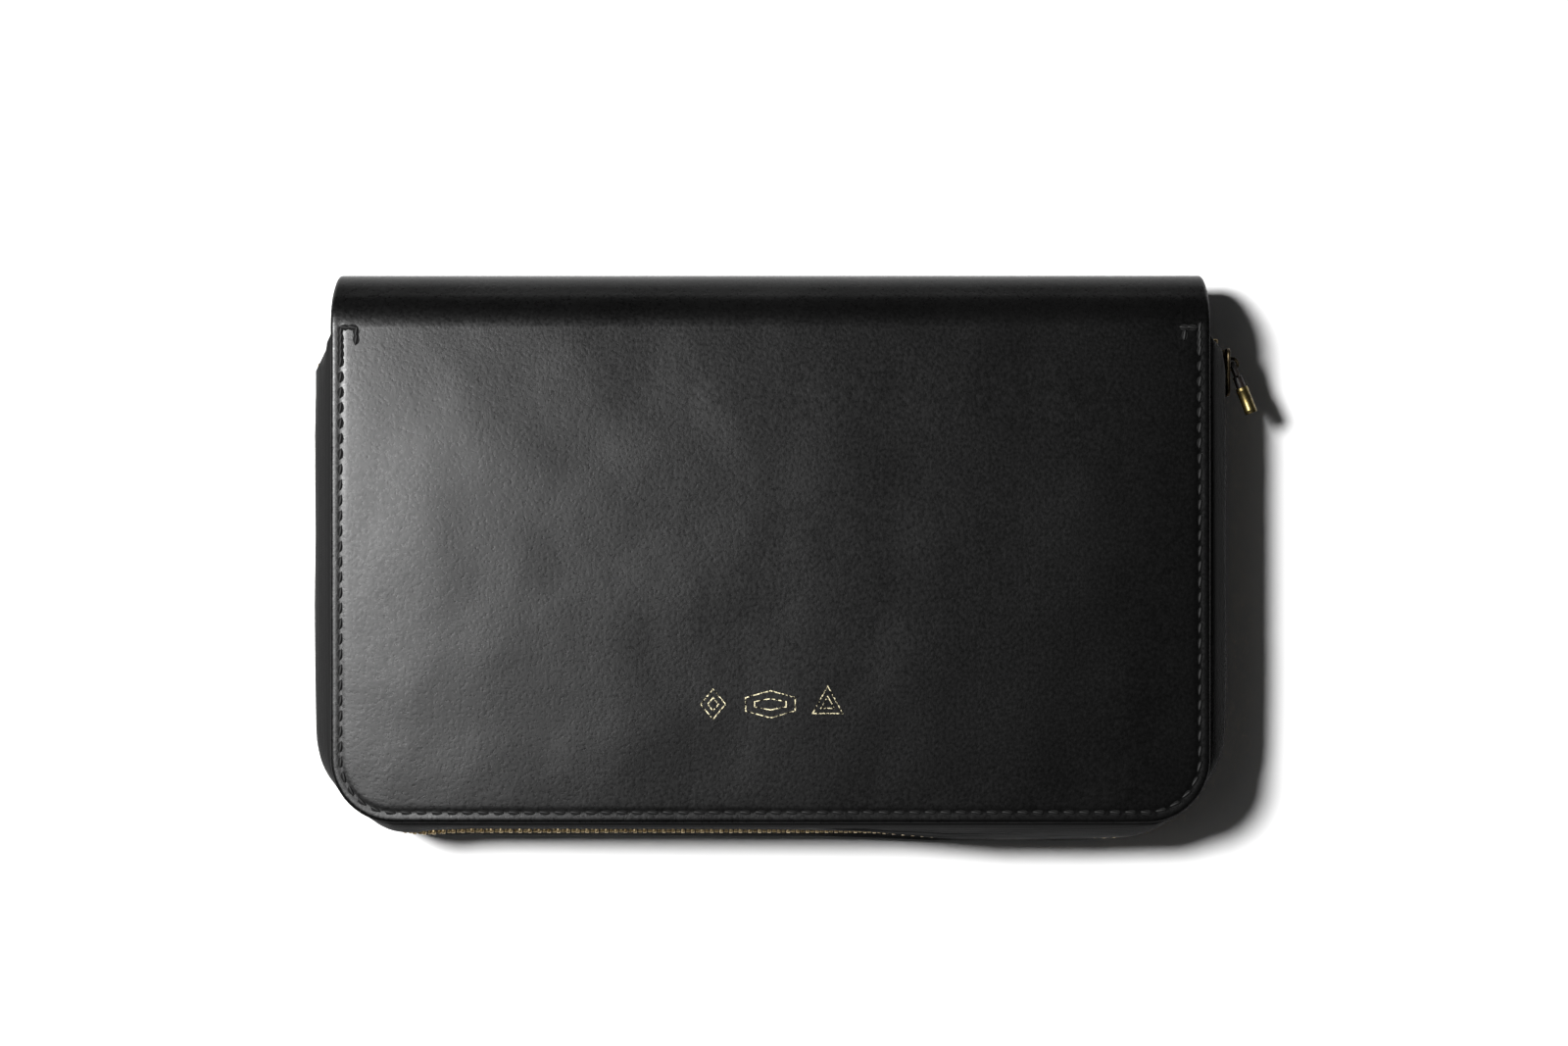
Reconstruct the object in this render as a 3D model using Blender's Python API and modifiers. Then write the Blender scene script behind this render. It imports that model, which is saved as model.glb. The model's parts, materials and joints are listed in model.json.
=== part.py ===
"""A zip-around travel wallet, zipped shut and lying on its back cover.

Metres, +Z up. The origin is the centre of the flat back cover, on the surface it lies on. +Y runs to
the rounded spine, -Y to the free edge where the covers part, and the zip runs round the other three
sides at half the thickness. Each half is a stack of leather, board, lining and pockets, and a depth
is measured from a half's outer face inwards.
"""

import math
from dataclasses import dataclass

import bmesh
import bpy
from mathutils import Matrix, Vector

# Overall sizes
COVER_WIDTH = 0.200
COVER_DEPTH = 0.1125  # flat part of a cover, from the spine to the free edge
THICKNESS = 0.025
CORNER_RADIUS = 0.0145

# Clearances
GAP = 0.0003  # between pieces that touch on the real wallet
SLIDE_GAP = 0.0004  # round pieces that move past each other

# Layers of one half
LEATHER = 0.0014
BOARD = 0.0008
LINING = 0.0007
POCKET_LEATHER = 0.0008
BOARD_INSET = 0.0075  # board's edge inside the cover's edge, clear of the zip tape
LINING_INSET = 0.0012
SPINE_ENDS_INSET = 0.002  # spine lining's ends inside the spine leather's ends

# Spine, a half cylinder in strips that hinge on each other at the outer surface
SPINE_STRIPS = 3
SPINE_ARC_STEPS = 5
SPINE_GAP_ANGLE = math.radians(1.4)

# Zip wall
TAPE = 0.0006
TAPE_FLANGE = 0.006  # width of tape sewn in between leather and lining
WALL_BULGE = 0.0034  # how far the zip stands out past the covers' edge
LOWER_SAG = 0.0022  # how far the lower tape sags out past the zip
LOWER_SAG_DEPTH = 0.0052  # depth of the sagging tape's outermost line
WALL_UPRIGHT = 0.0046  # tape stands upright this far either side of the zip
TUCK_LENGTH = 0.0035  # stretch where the wall's ends turn in beside the spine
SPINE_CLEARANCE = 0.0005
TAPE_EDGE_GAP = 0.0016  # from the zip's centre line to each tape's edge

# Zip pull
LACE_THICKNESS = 0.001
LACE_WIDTH = 0.0016
FERRULE_START = 0.006  # along the pull from its hinge
FERRULE_LENGTH = 0.0063
FERRULE_WALL = 0.0004
FERRULE_ROUNDING = 0.00055  # of its closed end
FERRULE_INSERTION = 0.004
PULL_ANGLE = math.radians(22)  # how far the pull stands out from the zip at rest

# Card pockets on the inside of the front cover
CARD_COLUMNS = 2
CARD_ROWS = 4
CARD_COLUMN_WIDTH = 0.0955
CARD_COLUMN_SPACING = 0.0975
CARD_MOUTH_LOWEST = 0.044  # mouth of the frontmost pocket above the pockets' foot
CARD_MOUTH_STEP = 0.012
SLIP_POCKET_HEIGHT = 0.094
POCKET_FOOT = 0.005  # pockets start this far from the spine
POCKET_SIDE_INSET = 0.0035
POCKET_CORNER = 0.003

# Zipped coin pocket and note pocket on the inside of the back cover
COIN_ZIP_FROM_FREE_EDGE = 0.023
COIN_WINDOW = 0.0096
COIN_ZIP_LENGTH = 0.156
COIN_TAPE_WIDTH = 0.0085
COIN_FACING_INSET = 0.008  # its edges from the covers' free edge
COIN_FACING_CORNER = 0.008
NOTE_POCKET_HEIGHT = 0.060
COIN_PULL_WIDTH = 0.0042
COIN_PULL_TAIL_WIDTH = 0.0029
COIN_PULL_THICKNESS = 0.0008

CORNER_STEPS = 8
TUCK_STEPS = 4
WALL_STEPS = 4
SAG_STEPS = 3
ROUND_STEPS = 16
SMOOTH_BELOW = math.radians(35)  # edges of lofted pieces turning less than this are shaded smooth
WELD_DISTANCE = 1e-6

MID = THICKNESS / 2
SPINE_Y = COVER_DEPTH / 2
FREE_Y = -COVER_DEPTH / 2


@dataclass(frozen=True)
class Zip:
    """Sizes of one metal zip. The pull's hinge is above the outer plate, ahead of the middle."""

    pitch: float  # between neighbouring teeth of one row
    teeth_thickness: float
    tooth_crest: float  # tip of a tooth past the centre line
    tooth_root: float  # foot of the notch short of the centre line
    row_foot: float  # foot of a row from the centre line
    tape: float
    plate: float
    slider_length: float
    slider_width: float
    flange: float
    diamond_width: float
    bridge_bar: float
    bridge_inside: float  # inner radius of the bridge round the pull's hinge
    bridge_width: float
    hinge_ahead: float
    eye_bar: float  # radius of the pull's bar under the bridge

    @property
    def channel(self):
        return self.teeth_thickness / 2 + SLIDE_GAP

    @property
    def face(self):
        """Outer face of the slider's outer plate above the zip's centre."""
        return self.channel + self.plate

    @property
    def hinge_height(self):
        return self.face + GAP + self.eye_bar

    @property
    def bridge_outside(self):
        return self.bridge_inside + self.bridge_bar


MAIN_ZIP = Zip(
    pitch=0.0022,
    teeth_thickness=0.0018,
    tooth_crest=0.00042,
    tooth_root=0.00077,
    row_foot=0.0013,
    tape=TAPE,
    plate=0.0007,
    slider_length=0.0110,
    slider_width=0.0084,
    flange=0.0008,
    diamond_width=0.0022,
    bridge_bar=0.0007,
    bridge_inside=0.0009,
    bridge_width=0.0014,
    hinge_ahead=0.0020,
    eye_bar=0.0005,
)
COIN_ZIP = Zip(
    pitch=0.0018,
    teeth_thickness=0.0016,
    tooth_crest=0.00034,
    tooth_root=0.00066,
    row_foot=0.0011,
    tape=0.0004,
    plate=0.0007,
    slider_length=0.0080,
    slider_width=0.0064,
    flange=0.0006,
    diamond_width=0.0018,
    bridge_bar=0.0006,
    bridge_inside=0.0008,
    bridge_width=0.0011,
    hinge_ahead=0.0009,
    eye_bar=0.0004,
)

# Depths of each layer's outer face below its half's outer face
BOARD_AT = LEATHER + GAP
LINING_AT = BOARD_AT + BOARD + GAP
POCKETS_AT = LINING_AT + LINING + GAP
FLANGE_AT = LEATHER + GAP + TAPE / 2
COIN_ZIP_AT = POCKETS_AT + COIN_ZIP.face
COIN_PANEL_AT = COIN_ZIP_AT + COIN_ZIP.tape / 2 + GAP
NOTE_POCKET_AT = COIN_PANEL_AT + POCKET_LEATHER + GAP

# Places along the main zip
CHAIN_X = COVER_WIDTH / 2 + WALL_BULGE
WALL_END_Y = SPINE_Y - SPINE_CLEARANCE
SLIDER_Y = WALL_END_Y - TUCK_LENGTH - MAIN_ZIP.slider_length / 2 - GAP
COIN_ZIP_Y = FREE_Y + COIN_ZIP_FROM_FREE_EDGE
COIN_SLIDER_X = (COIN_ZIP_LENGTH - COIN_ZIP.slider_length) / 2

WALLET = bpy.data.collections.new("zip_around_wallet")
HELPERS = bpy.data.collections.new("helpers")


# Scene and materials


def clear_scene():
    for old in list(bpy.data.objects):
        bpy.data.objects.remove(old)
    for collection in (WALLET, HELPERS):
        bpy.context.scene.collection.children.link(collection)


def make_material(name, colour, roughness, metallic=0.0):
    made = bpy.data.materials.new(name)
    made.use_nodes = True
    shader = made.node_tree.nodes["Principled BSDF"]
    shader.inputs["Base Color"].default_value = (*colour, 1.0)
    shader.inputs["Roughness"].default_value = roughness
    shader.inputs["Metallic"].default_value = metallic
    return made


BLACK_LEATHER = make_material("smooth_black_leather", (0.012, 0.012, 0.013), 0.42)
LINING_LEATHER = make_material("black_lining_leather", (0.020, 0.019, 0.019), 0.60)
TAPE_CLOTH = make_material("black_zip_tape", (0.010, 0.010, 0.011), 0.85)
GREY_BOARD = make_material("stiffener_board", (0.25, 0.22, 0.18), 0.90)
BRASS = make_material("aged_brass", (0.55, 0.40, 0.18), 0.35, 1.0)
LACE_LEATHER = make_material("dark_brown_lace", (0.030, 0.018, 0.014), 0.60)


# Building tools


def give(obj, material, joint=None):
    """Puts a finished piece in the wallet, with its material, on the joint's empty if it moves."""
    obj.data.materials.clear()
    obj.data.materials.append(material)
    WALLET.objects.link(obj)
    if joint is not None:
        obj.parent = joint
        obj.matrix_parent_inverse = Matrix.Translation(-joint.location)
    return obj


def joint_empty(name, place):
    empty = bpy.data.objects.new(name, None)
    empty.location = place
    WALLET.objects.link(empty)
    return empty


def arc(centre, radius, start, end, steps):
    """Points on an arc, angles in radians."""
    angles = [start + (end - start) * i / steps for i in range(steps + 1)]
    return [
        (centre[0] + radius * math.cos(a), centre[1] + radius * math.sin(a))
        for a in angles
    ]


def rounded_outline(left, right, low, high, low_radius, high_radius):
    """Rectangle whose two low corners and two high corners are rounded, or square at radius 0."""
    quarter = math.pi / 2
    corners = (
        (left, low, 1, 1, 2, low_radius),
        (right, low, -1, 1, 3, low_radius),
        (right, high, -1, -1, 0, high_radius),
        (left, high, 1, -1, 1, high_radius),
    )
    points = []
    for x, y, inward_x, inward_y, turn, radius in corners:
        if radius == 0:
            points.append((x, y))
            continue
        centre = (x + inward_x * radius, y + inward_y * radius)
        points += arc(centre, radius, turn * quarter, (turn + 1) * quarter, CORNER_STEPS)
    return points


def flat_curve(name, outlines, thickness):
    """A 2D curve of one outline, and any holes, filled and extruded to a thickness about its plane."""
    curve = bpy.data.curves.new(name, "CURVE")
    curve.dimensions = "2D"
    curve.fill_mode = "BOTH"
    curve.extrude = thickness / 2
    for outline in outlines:
        spline = curve.splines.new("POLY")
        spline.points.add(len(outline) - 1)
        for point, (x, y) in zip(spline.points, outline):
            point.co = (x, y, 0, 1)
        spline.use_cyclic_u = True
    return bpy.data.objects.new(name, curve)


def meshed(curve_object):
    """The curve object made a mesh, with its caps welded on, where the curve was."""
    HELPERS.objects.link(curve_object)
    bpy.context.view_layer.update()
    graph = bpy.context.evaluated_depsgraph_get()
    mesh = bpy.data.meshes.new_from_object(curve_object.evaluated_get(graph))
    shell = bmesh.new()
    shell.from_mesh(mesh)
    bmesh.ops.remove_doubles(shell, verts=shell.verts, dist=WELD_DISTANCE)
    shell.to_mesh(mesh)
    shell.free()
    name = curve_object.name
    place = curve_object.matrix_world.copy()
    bpy.data.objects.remove(curve_object)
    solid = bpy.data.objects.new(name, mesh)
    solid.matrix_world = place
    return solid


def join(base, others):
    """Base with each other solid joined to it by a Boolean. The others become helpers."""
    for other in others:
        HELPERS.objects.link(other)
        other.hide_render = True
        other.display_type = "WIRE"
        union = base.modifiers.new("join_" + other.name, "BOOLEAN")
        union.operation = "UNION"
        union.solver = "EXACT"
        union.object = other
    return base


def plate(name, outline, front, depth, thickness, material, joint=None):
    """Flat layer of one half, its outer face at a depth below that half's outer face."""
    middle = depth + thickness / 2
    piece = flat_curve(name, [outline], thickness)
    piece.location.z = THICKNESS - middle if front else middle
    return give(piece, material, joint)


def lofted_mesh(name, sections, closed_ends):
    """Mesh through sections of equal point counts, each a ring if closed_ends, else an open line."""
    shell = bmesh.new()
    rings = [[shell.verts.new(point) for point in section] for section in sections]
    count = len(sections[0])
    last = count if closed_ends else count - 1
    for ring, after in zip(rings, rings[1:]):
        for i in range(last):
            j = (i + 1) % count
            shell.faces.new((ring[i], ring[j], after[j], after[i]))
    if closed_ends:
        shell.faces.new(rings[0])
        shell.faces.new(rings[-1])
    bmesh.ops.recalc_face_normals(shell, faces=shell.faces)
    mesh = bpy.data.meshes.new(name)
    shell.to_mesh(mesh)
    shell.free()
    mesh.shade_smooth()
    mesh.set_sharp_from_angle(angle=SMOOTH_BELOW)
    return bpy.data.objects.new(name, mesh)


# Joints' empties, which the moving pieces hang on


def spine_point(angle, radius):
    """Point of the spine's cross-section, 0 at the back cover and pi at the front cover."""
    return Vector((0, SPINE_Y + radius * math.sin(angle), MID - radius * math.cos(angle)))


clear_scene()
STRIP_ANGLE = math.pi / SPINE_STRIPS
SPINE_HINGES = [
    joint_empty(f"spine_hinge_{i + 1}", spine_point(i * STRIP_ANGLE, MID))
    for i in range(SPINE_STRIPS + 1)
]
FRONT = SPINE_HINGES[-1]
ZIP_SLIDER = joint_empty("zip_slider_travel", (CHAIN_X, SLIDER_Y, MID))
PULL_HINGE = joint_empty(
    "zip_pull_hinge",
    (CHAIN_X + MAIN_ZIP.hinge_height, SLIDER_Y + MAIN_ZIP.hinge_ahead, MID),
)
COIN_SLIDER = joint_empty("coin_slider_travel", (COIN_SLIDER_X, COIN_ZIP_Y, COIN_ZIP_AT))
COIN_PULL_HINGE = joint_empty(
    "coin_pull_hinge",
    (
        COIN_SLIDER_X + COIN_ZIP.hinge_ahead,
        COIN_ZIP_Y,
        COIN_ZIP_AT + COIN_ZIP.hinge_height,
    ),
)


# Covers


def cover_outline(inset, spine_inset):
    """A cover's outline, square at the spine and rounded at the free edge, moved in by inset."""
    half = COVER_WIDTH / 2 - inset
    radius = max(CORNER_RADIUS - inset, GAP)
    return rounded_outline(-half, half, FREE_Y + inset, SPINE_Y - spine_inset, radius, 0)


def cover_layers(half_name, front):
    joint = FRONT if front else None
    plate(
        f"{half_name}_cover_leather",
        cover_outline(0, GAP / 2),
        front,
        0,
        LEATHER,
        BLACK_LEATHER,
        joint,
    )
    plate(
        f"{half_name}_stiffener_board",
        cover_outline(BOARD_INSET, BOARD_INSET),
        front,
        BOARD_AT,
        BOARD,
        GREY_BOARD,
        joint,
    )
    plate(
        f"{half_name}_lining",
        cover_outline(LINING_INSET, GAP),
        front,
        LINING_AT,
        LINING,
        LINING_LEATHER,
        joint,
    )


def spine_strip(name, index, outer, thickness, ends_inset, material):
    """One curved strip of the spine between two hinge lines, extruded along the wallet's width."""
    start = index * STRIP_ANGLE + SPINE_GAP_ANGLE / 2 - math.pi / 2
    end = (index + 1) * STRIP_ANGLE - SPINE_GAP_ANGLE / 2 - math.pi / 2
    outline = arc((0, 0), outer, start, end, SPINE_ARC_STEPS)
    outline += arc((0, 0), outer - thickness, end, start, SPINE_ARC_STEPS)
    strip = flat_curve(name, [outline], COVER_WIDTH - 2 * ends_inset)
    strip.rotation_euler = (math.pi / 2, 0, math.pi / 2)
    strip.location = (0, SPINE_Y, MID)
    return give(strip, material, SPINE_HINGES[index])


def spine():
    lining_radius = MID - LEATHER - GAP
    for i, place in enumerate(("lower", "middle", "upper")[:SPINE_STRIPS]):
        spine_strip(f"spine_leather_{place}", i, MID, LEATHER, 0, BLACK_LEATHER)
        spine_strip(
            f"spine_lining_{place}", i, lining_radius, LINING, SPINE_ENDS_INSET, LINING_LEATHER
        )


# Zip wall


def smooth_step(share):
    return share * share * (3 - 2 * share)


def wall_path(offset):
    """U-shaped line at an outward offset from the covers' edge, from the right side round to the left.

    Past the edge the corners pull in to stay flush with the covers' corners, and the ends tuck in.
    """
    pulled_in = offset / (1 - math.sqrt(0.5)) if offset > 0 else offset
    radius = CORNER_RADIUS + pulled_in
    centre = (COVER_WIDTH / 2 + offset - radius, FREE_Y - offset + radius)
    right = []
    for i in range(TUCK_STEPS + 1):
        share = i / TUCK_STEPS
        tucked = offset * smooth_step(share) if offset > 0 else offset
        right.append((COVER_WIDTH / 2 + tucked, WALL_END_Y - share * TUCK_LENGTH))
    right += arc(centre, radius, 0, -math.pi / 2, CORNER_STEPS)
    return right + [(-x, y) for x, y in reversed(right)]


def tape_profile(sag):
    """(offset, depth) points across one tape: sewn flange, bulging wall, upright edge at the zip."""
    flange_end = -GAP
    upright_at = MID - WALL_UPRIGHT
    outermost = WALL_BULGE + sag
    outermost_at = LOWER_SAG_DEPTH if sag else upright_at
    profile = [(-TAPE_FLANGE, FLANGE_AT)]
    for i in range(WALL_STEPS + 1):
        angle = math.pi / 2 * i / WALL_STEPS
        offset = flange_end + (outermost - flange_end) * math.sin(angle)
        depth = FLANGE_AT + (outermost_at - FLANGE_AT) * (1 - math.cos(angle))
        profile.append((offset, depth))
    if sag:
        for i in range(1, SAG_STEPS + 1):
            share = i / SAG_STEPS
            depth = outermost_at + share * (upright_at - outermost_at)
            profile.append((outermost - sag * smooth_step(share), depth))
    profile.append((WALL_BULGE, MID - TAPE_EDGE_GAP))
    return profile


def zip_tape(name, front, joint=None):
    sections = []
    for offset, depth in tape_profile(0 if front else LOWER_SAG):
        z = THICKNESS - depth if front else depth
        sections.append([(x, y, z) for x, y in wall_path(offset)])
    tape = lofted_mesh(name, sections, closed_ends=False)
    solidify = tape.modifiers.new("tape_thickness", "SOLIDIFY")
    solidify.thickness = TAPE
    solidify.offset = 0
    return give(tape, TAPE_CLOTH, joint)


def along(points, spacing, start):
    """Places at equal spacing along a line of points, each with its left-hand normal."""
    stations = []
    travelled = 0
    wanted = start
    for (x0, y0), (x1, y1) in zip(points, points[1:]):
        length = math.hypot(x1 - x0, y1 - y0)
        while length > 0 and wanted <= travelled + length:
            share = (wanted - travelled) / length
            place = Vector((x0 + share * (x1 - x0), y0 + share * (y1 - y0), 0))
            stations.append((place, Vector((y0 - y1, x1 - x0, 0)) / length))
            wanted += spacing
        travelled += length
    return stations


def tooth_row(name, stations, across, thick, size, leads, material, joint=None):
    """A row of teeth as one toothed strip: stations are half a pitch apart and alternate tip and notch."""
    sections = []
    for i, (place, normal) in enumerate(stations):
        side = (thick or normal) * size.teeth_thickness / 2
        tip = size.tooth_crest if (i % 2 == 0) == leads else -size.tooth_root
        foot = place - across * size.row_foot
        top = place + across * tip
        sections.append([foot - side, foot + side, top + side, top - side])
    return give(lofted_mesh(name, sections, closed_ends=True), material, joint)


def main_teeth():
    """Both rows along the zip's centre line, from behind the slider to the bottom stop."""
    line = wall_path(WALL_BULGE)
    straight = [(CHAIN_X, SLIDER_Y - MAIN_ZIP.slider_length / 2 - GAP)]
    line = straight + line[TUCK_STEPS + 1 : -TUCK_STEPS - 1] + [(-CHAIN_X, SLIDER_Y)]
    up = Vector((0, 0, 1))
    stations = [
        (place + up * MID, normal) for place, normal in along(line, MAIN_ZIP.pitch / 2, 0)
    ]
    tooth_row("zip_teeth_lower", stations, up, None, MAIN_ZIP, True, BRASS)
    tooth_row("zip_teeth_upper", stations, -up, None, MAIN_ZIP, False, BRASS, FRONT)


def zip_stop(name, centre, size, front):
    """Small block clamped on a tape's edge, which stops the slider."""
    bpy.ops.mesh.primitive_cube_add(size=1)
    block = bpy.context.object
    for collection in list(block.users_collection):
        collection.objects.unlink(block)
    block.name = name
    block.data.transform(Matrix.Diagonal((*size, 1)))
    block.location = centre
    return give(block, BRASS, FRONT if front else None)


def zip_stops():
    """Two top stops ahead of the slider, one a tape, and a bottom stop past the last teeth."""
    thick = MAIN_ZIP.teeth_thickness
    high = MAIN_ZIP.row_foot - GAP
    ahead = SLIDER_Y + MAIN_ZIP.slider_length / 2 + GAP + thick / 2
    middle = (MAIN_ZIP.row_foot + GAP) / 2
    zip_stop("zip_top_stop_lower", (CHAIN_X, ahead, MID - middle), (thick, thick, high), False)
    zip_stop("zip_top_stop_upper", (CHAIN_X, ahead, MID + middle), (thick, thick, high), True)
    width = 2 * MAIN_ZIP.row_foot
    behind = SLIDER_Y + GAP + thick / 2
    zip_stop("zip_bottom_stop", (-CHAIN_X, behind, MID), (thick, thick, width), False)


# Sliders and pulls


def slider(name, size, place, turned, joint):
    """Slider with its nose along local X, its width along local Y and its outer plate up local Z."""
    half = size.slider_width / 2
    slot = size.tape / 2 + SLIDE_GAP
    inner = half - size.flange
    channel = [
        (-half, slot),
        (-inner, slot),
        (-inner, size.channel),
        (inner, size.channel),
        (inner, slot),
        (half, slot),
        (half, size.face),
        (-half, size.face),
    ]
    upright = (math.pi / 2, 0, math.pi / 2)
    shells = []
    for part, sign in (("outer_plate", 1), ("inner_plate", -1)):
        outline = [(y, sign * z) for y, z in channel]
        shell = flat_curve(f"{name}_{part}", [outline], size.slider_length)
        shell.rotation_euler = upright
        shells.append(meshed(shell))
    nose = size.slider_length / 2 - GAP
    wedge = size.diamond_width / 2
    diamond = flat_curve(
        f"{name}_diamond",
        [[(nose, -wedge), (nose, wedge), (nose - size.diamond_width, wedge), (0, 0)]
         + [(nose - size.diamond_width, -wedge)]],
        2 * size.channel + size.plate,
    )
    legs = size.face - size.plate / 2
    height = size.hinge_height
    ahead = size.hinge_ahead
    bridge_outline = [(ahead + size.bridge_outside, legs)]
    bridge_outline += arc((ahead, height), size.bridge_outside, 0, math.pi, CORNER_STEPS)
    bridge_outline += [(ahead - size.bridge_outside, legs), (ahead - size.bridge_inside, legs)]
    bridge_outline += arc((ahead, height), size.bridge_inside, math.pi, 0, CORNER_STEPS)
    bridge_outline += [(ahead + size.bridge_inside, legs)]
    bridge = flat_curve(f"{name}_bridge", [bridge_outline], size.bridge_width)
    bridge.rotation_euler = (math.pi / 2, 0, 0)
    others = [shells[1], meshed(diamond), meshed(bridge)]
    body = shells[0]
    body.name = name
    to_world = Matrix.Translation(place) @ turned
    for piece in [body, *others]:
        piece.data.transform(to_world @ piece.matrix_world)
        piece.matrix_world = Matrix.Identity(4)
    return give(join(body, others), BRASS, joint)


def eye_outlines(size, width, length, tail_width):
    """A pull seen flat, its hinge at the origin: an eye round the bridge and a tail along +X."""
    hole = size.bridge_width / 2 + SLIDE_GAP
    hole_end = size.bridge_outside + SLIDE_GAP
    eye_end = hole_end + 2 * size.eye_bar
    outer = [
        (-size.eye_bar, -width / 2),
        (eye_end, -width / 2),
        (eye_end + size.eye_bar, -tail_width / 2),
        (length, -tail_width / 2),
        (length, tail_width / 2),
        (eye_end + size.eye_bar, tail_width / 2),
        (eye_end, width / 2),
        (-size.eye_bar, width / 2),
    ]
    inner = [
        (size.eye_bar, -hole),
        (size.eye_bar, hole),
        (hole_end, hole),
        (hole_end, -hole),
    ]
    return [outer, inner]


def main_pull():
    """Leather lace looped round the bridge, its end held in a brass ferrule."""
    lace_end = FERRULE_START + FERRULE_INSERTION
    eye_width = MAIN_ZIP.bridge_width + 2 * SLIDE_GAP + 4 * MAIN_ZIP.eye_bar
    outlines = eye_outlines(MAIN_ZIP, eye_width, lace_end, LACE_WIDTH)
    # Local X points along the pull, out and back from the slider, and local Y along the hinge.
    turned = Matrix.Rotation(-math.pi / 2 + PULL_ANGLE, 4, "Z") @ Matrix.Rotation(
        math.pi / 2, 4, "X"
    )
    lace = flat_curve("pull_lace", outlines, LACE_THICKNESS)
    lace.matrix_world = Matrix.Translation(PULL_HINGE.location) @ turned
    give(lace, LACE_LEATHER, PULL_HINGE)

    bore = math.hypot(LACE_THICKNESS, LACE_WIDTH) / 2 + GAP
    outside = bore + FERRULE_WALL
    floor = FERRULE_INSERTION + GAP
    profile = [(0, FERRULE_LENGTH)]
    profile += [(outside - FERRULE_ROUNDING, FERRULE_LENGTH)]
    profile += [(outside, FERRULE_LENGTH - FERRULE_ROUNDING), (outside, 0)]
    profile += [(bore, 0), (bore, floor)]
    profile += [(0, floor)]
    mesh = bpy.data.meshes.new("pull_ferrule")
    edges = [(i, i + 1) for i in range(len(profile) - 1)]
    mesh.from_pydata([(x, 0, z) for x, z in profile], edges, [])
    ferrule = bpy.data.objects.new("pull_ferrule", mesh)
    turn = ferrule.modifiers.new("turned", "SCREW")
    turn.steps = ROUND_STEPS
    turn.render_steps = ROUND_STEPS
    turn.use_merge_vertices = True
    turn.merge_threshold = WELD_DISTANCE
    turn.use_smooth_shade = False
    start = Matrix.Translation((FERRULE_START, 0, 0)) @ Matrix.Rotation(math.pi / 2, 4, "Y")
    ferrule.matrix_world = Matrix.Translation(PULL_HINGE.location) @ turned @ start
    give(ferrule, BRASS, PULL_HINGE)


def coin_pull():
    """Short brass tab, as long as the room between the hinge and the front cover's slip pocket."""
    ceiling = THICKNESS - POCKETS_AT - POCKET_LEATHER
    length = ceiling - COIN_PULL_HINGE.location.z - 2 * SLIDE_GAP
    outlines = eye_outlines(COIN_ZIP, COIN_PULL_WIDTH, length, COIN_PULL_TAIL_WIDTH)
    tab = flat_curve("coin_pull", outlines, COIN_PULL_THICKNESS)
    back = Matrix.Rotation(math.pi, 4, "Z")
    tab.matrix_world = Matrix.Translation(COIN_PULL_HINGE.location) @ back
    give(tab, BRASS, COIN_PULL_HINGE)


# Pockets


def pocket_outline(left, right, height):
    """Pocket panel from its foot near the spine to its mouth, its two mouth corners rounded."""
    foot = SPINE_Y - POCKET_FOOT
    return rounded_outline(left, right, foot - height, foot, POCKET_CORNER, 0)


def front_pockets():
    side = COVER_WIDTH / 2 - POCKET_SIDE_INSET
    plate(
        "slip_pocket_panel",
        pocket_outline(-side, side, SLIP_POCKET_HEIGHT),
        True,
        POCKETS_AT,
        POCKET_LEATHER,
        LINING_LEATHER,
        FRONT,
    )
    first = POCKETS_AT + POCKET_LEATHER + GAP
    for column in range(CARD_COLUMNS):
        centre = (column - (CARD_COLUMNS - 1) / 2) * CARD_COLUMN_SPACING
        for row in range(CARD_ROWS):
            height = CARD_MOUTH_LOWEST + (CARD_ROWS - 1 - row) * CARD_MOUTH_STEP
            plate(
                f"card_pocket_{'left' if column == 0 else 'right'}_{row + 1}",
                pocket_outline(
                    centre - CARD_COLUMN_WIDTH / 2, centre + CARD_COLUMN_WIDTH / 2, height
                ),
                True,
                first + row * (POCKET_LEATHER + GAP),
                POCKET_LEATHER,
                LINING_LEATHER,
                FRONT,
            )


def back_pockets():
    side = COVER_WIDTH / 2 - POCKET_SIDE_INSET
    foot = SPINE_Y - POCKET_FOOT
    window_low = COIN_ZIP_Y - COIN_WINDOW / 2
    window_high = COIN_ZIP_Y + COIN_WINDOW / 2
    free = FREE_Y + COIN_FACING_INSET
    corner = COIN_FACING_CORNER
    panels = (
        ("coin_pocket_panel", rounded_outline(-side, side, window_high, foot, 0, 0)),
        ("coin_pocket_facing", rounded_outline(-side, side, free, window_low, corner, 0)),
    )
    for name, outline in panels:
        plate(name, outline, False, COIN_PANEL_AT, POCKET_LEATHER, LINING_LEATHER)
    plate(
        "note_pocket_panel",
        pocket_outline(-side, side, NOTE_POCKET_HEIGHT),
        False,
        NOTE_POCKET_AT,
        POCKET_LEATHER,
        LINING_LEATHER,
    )


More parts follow.
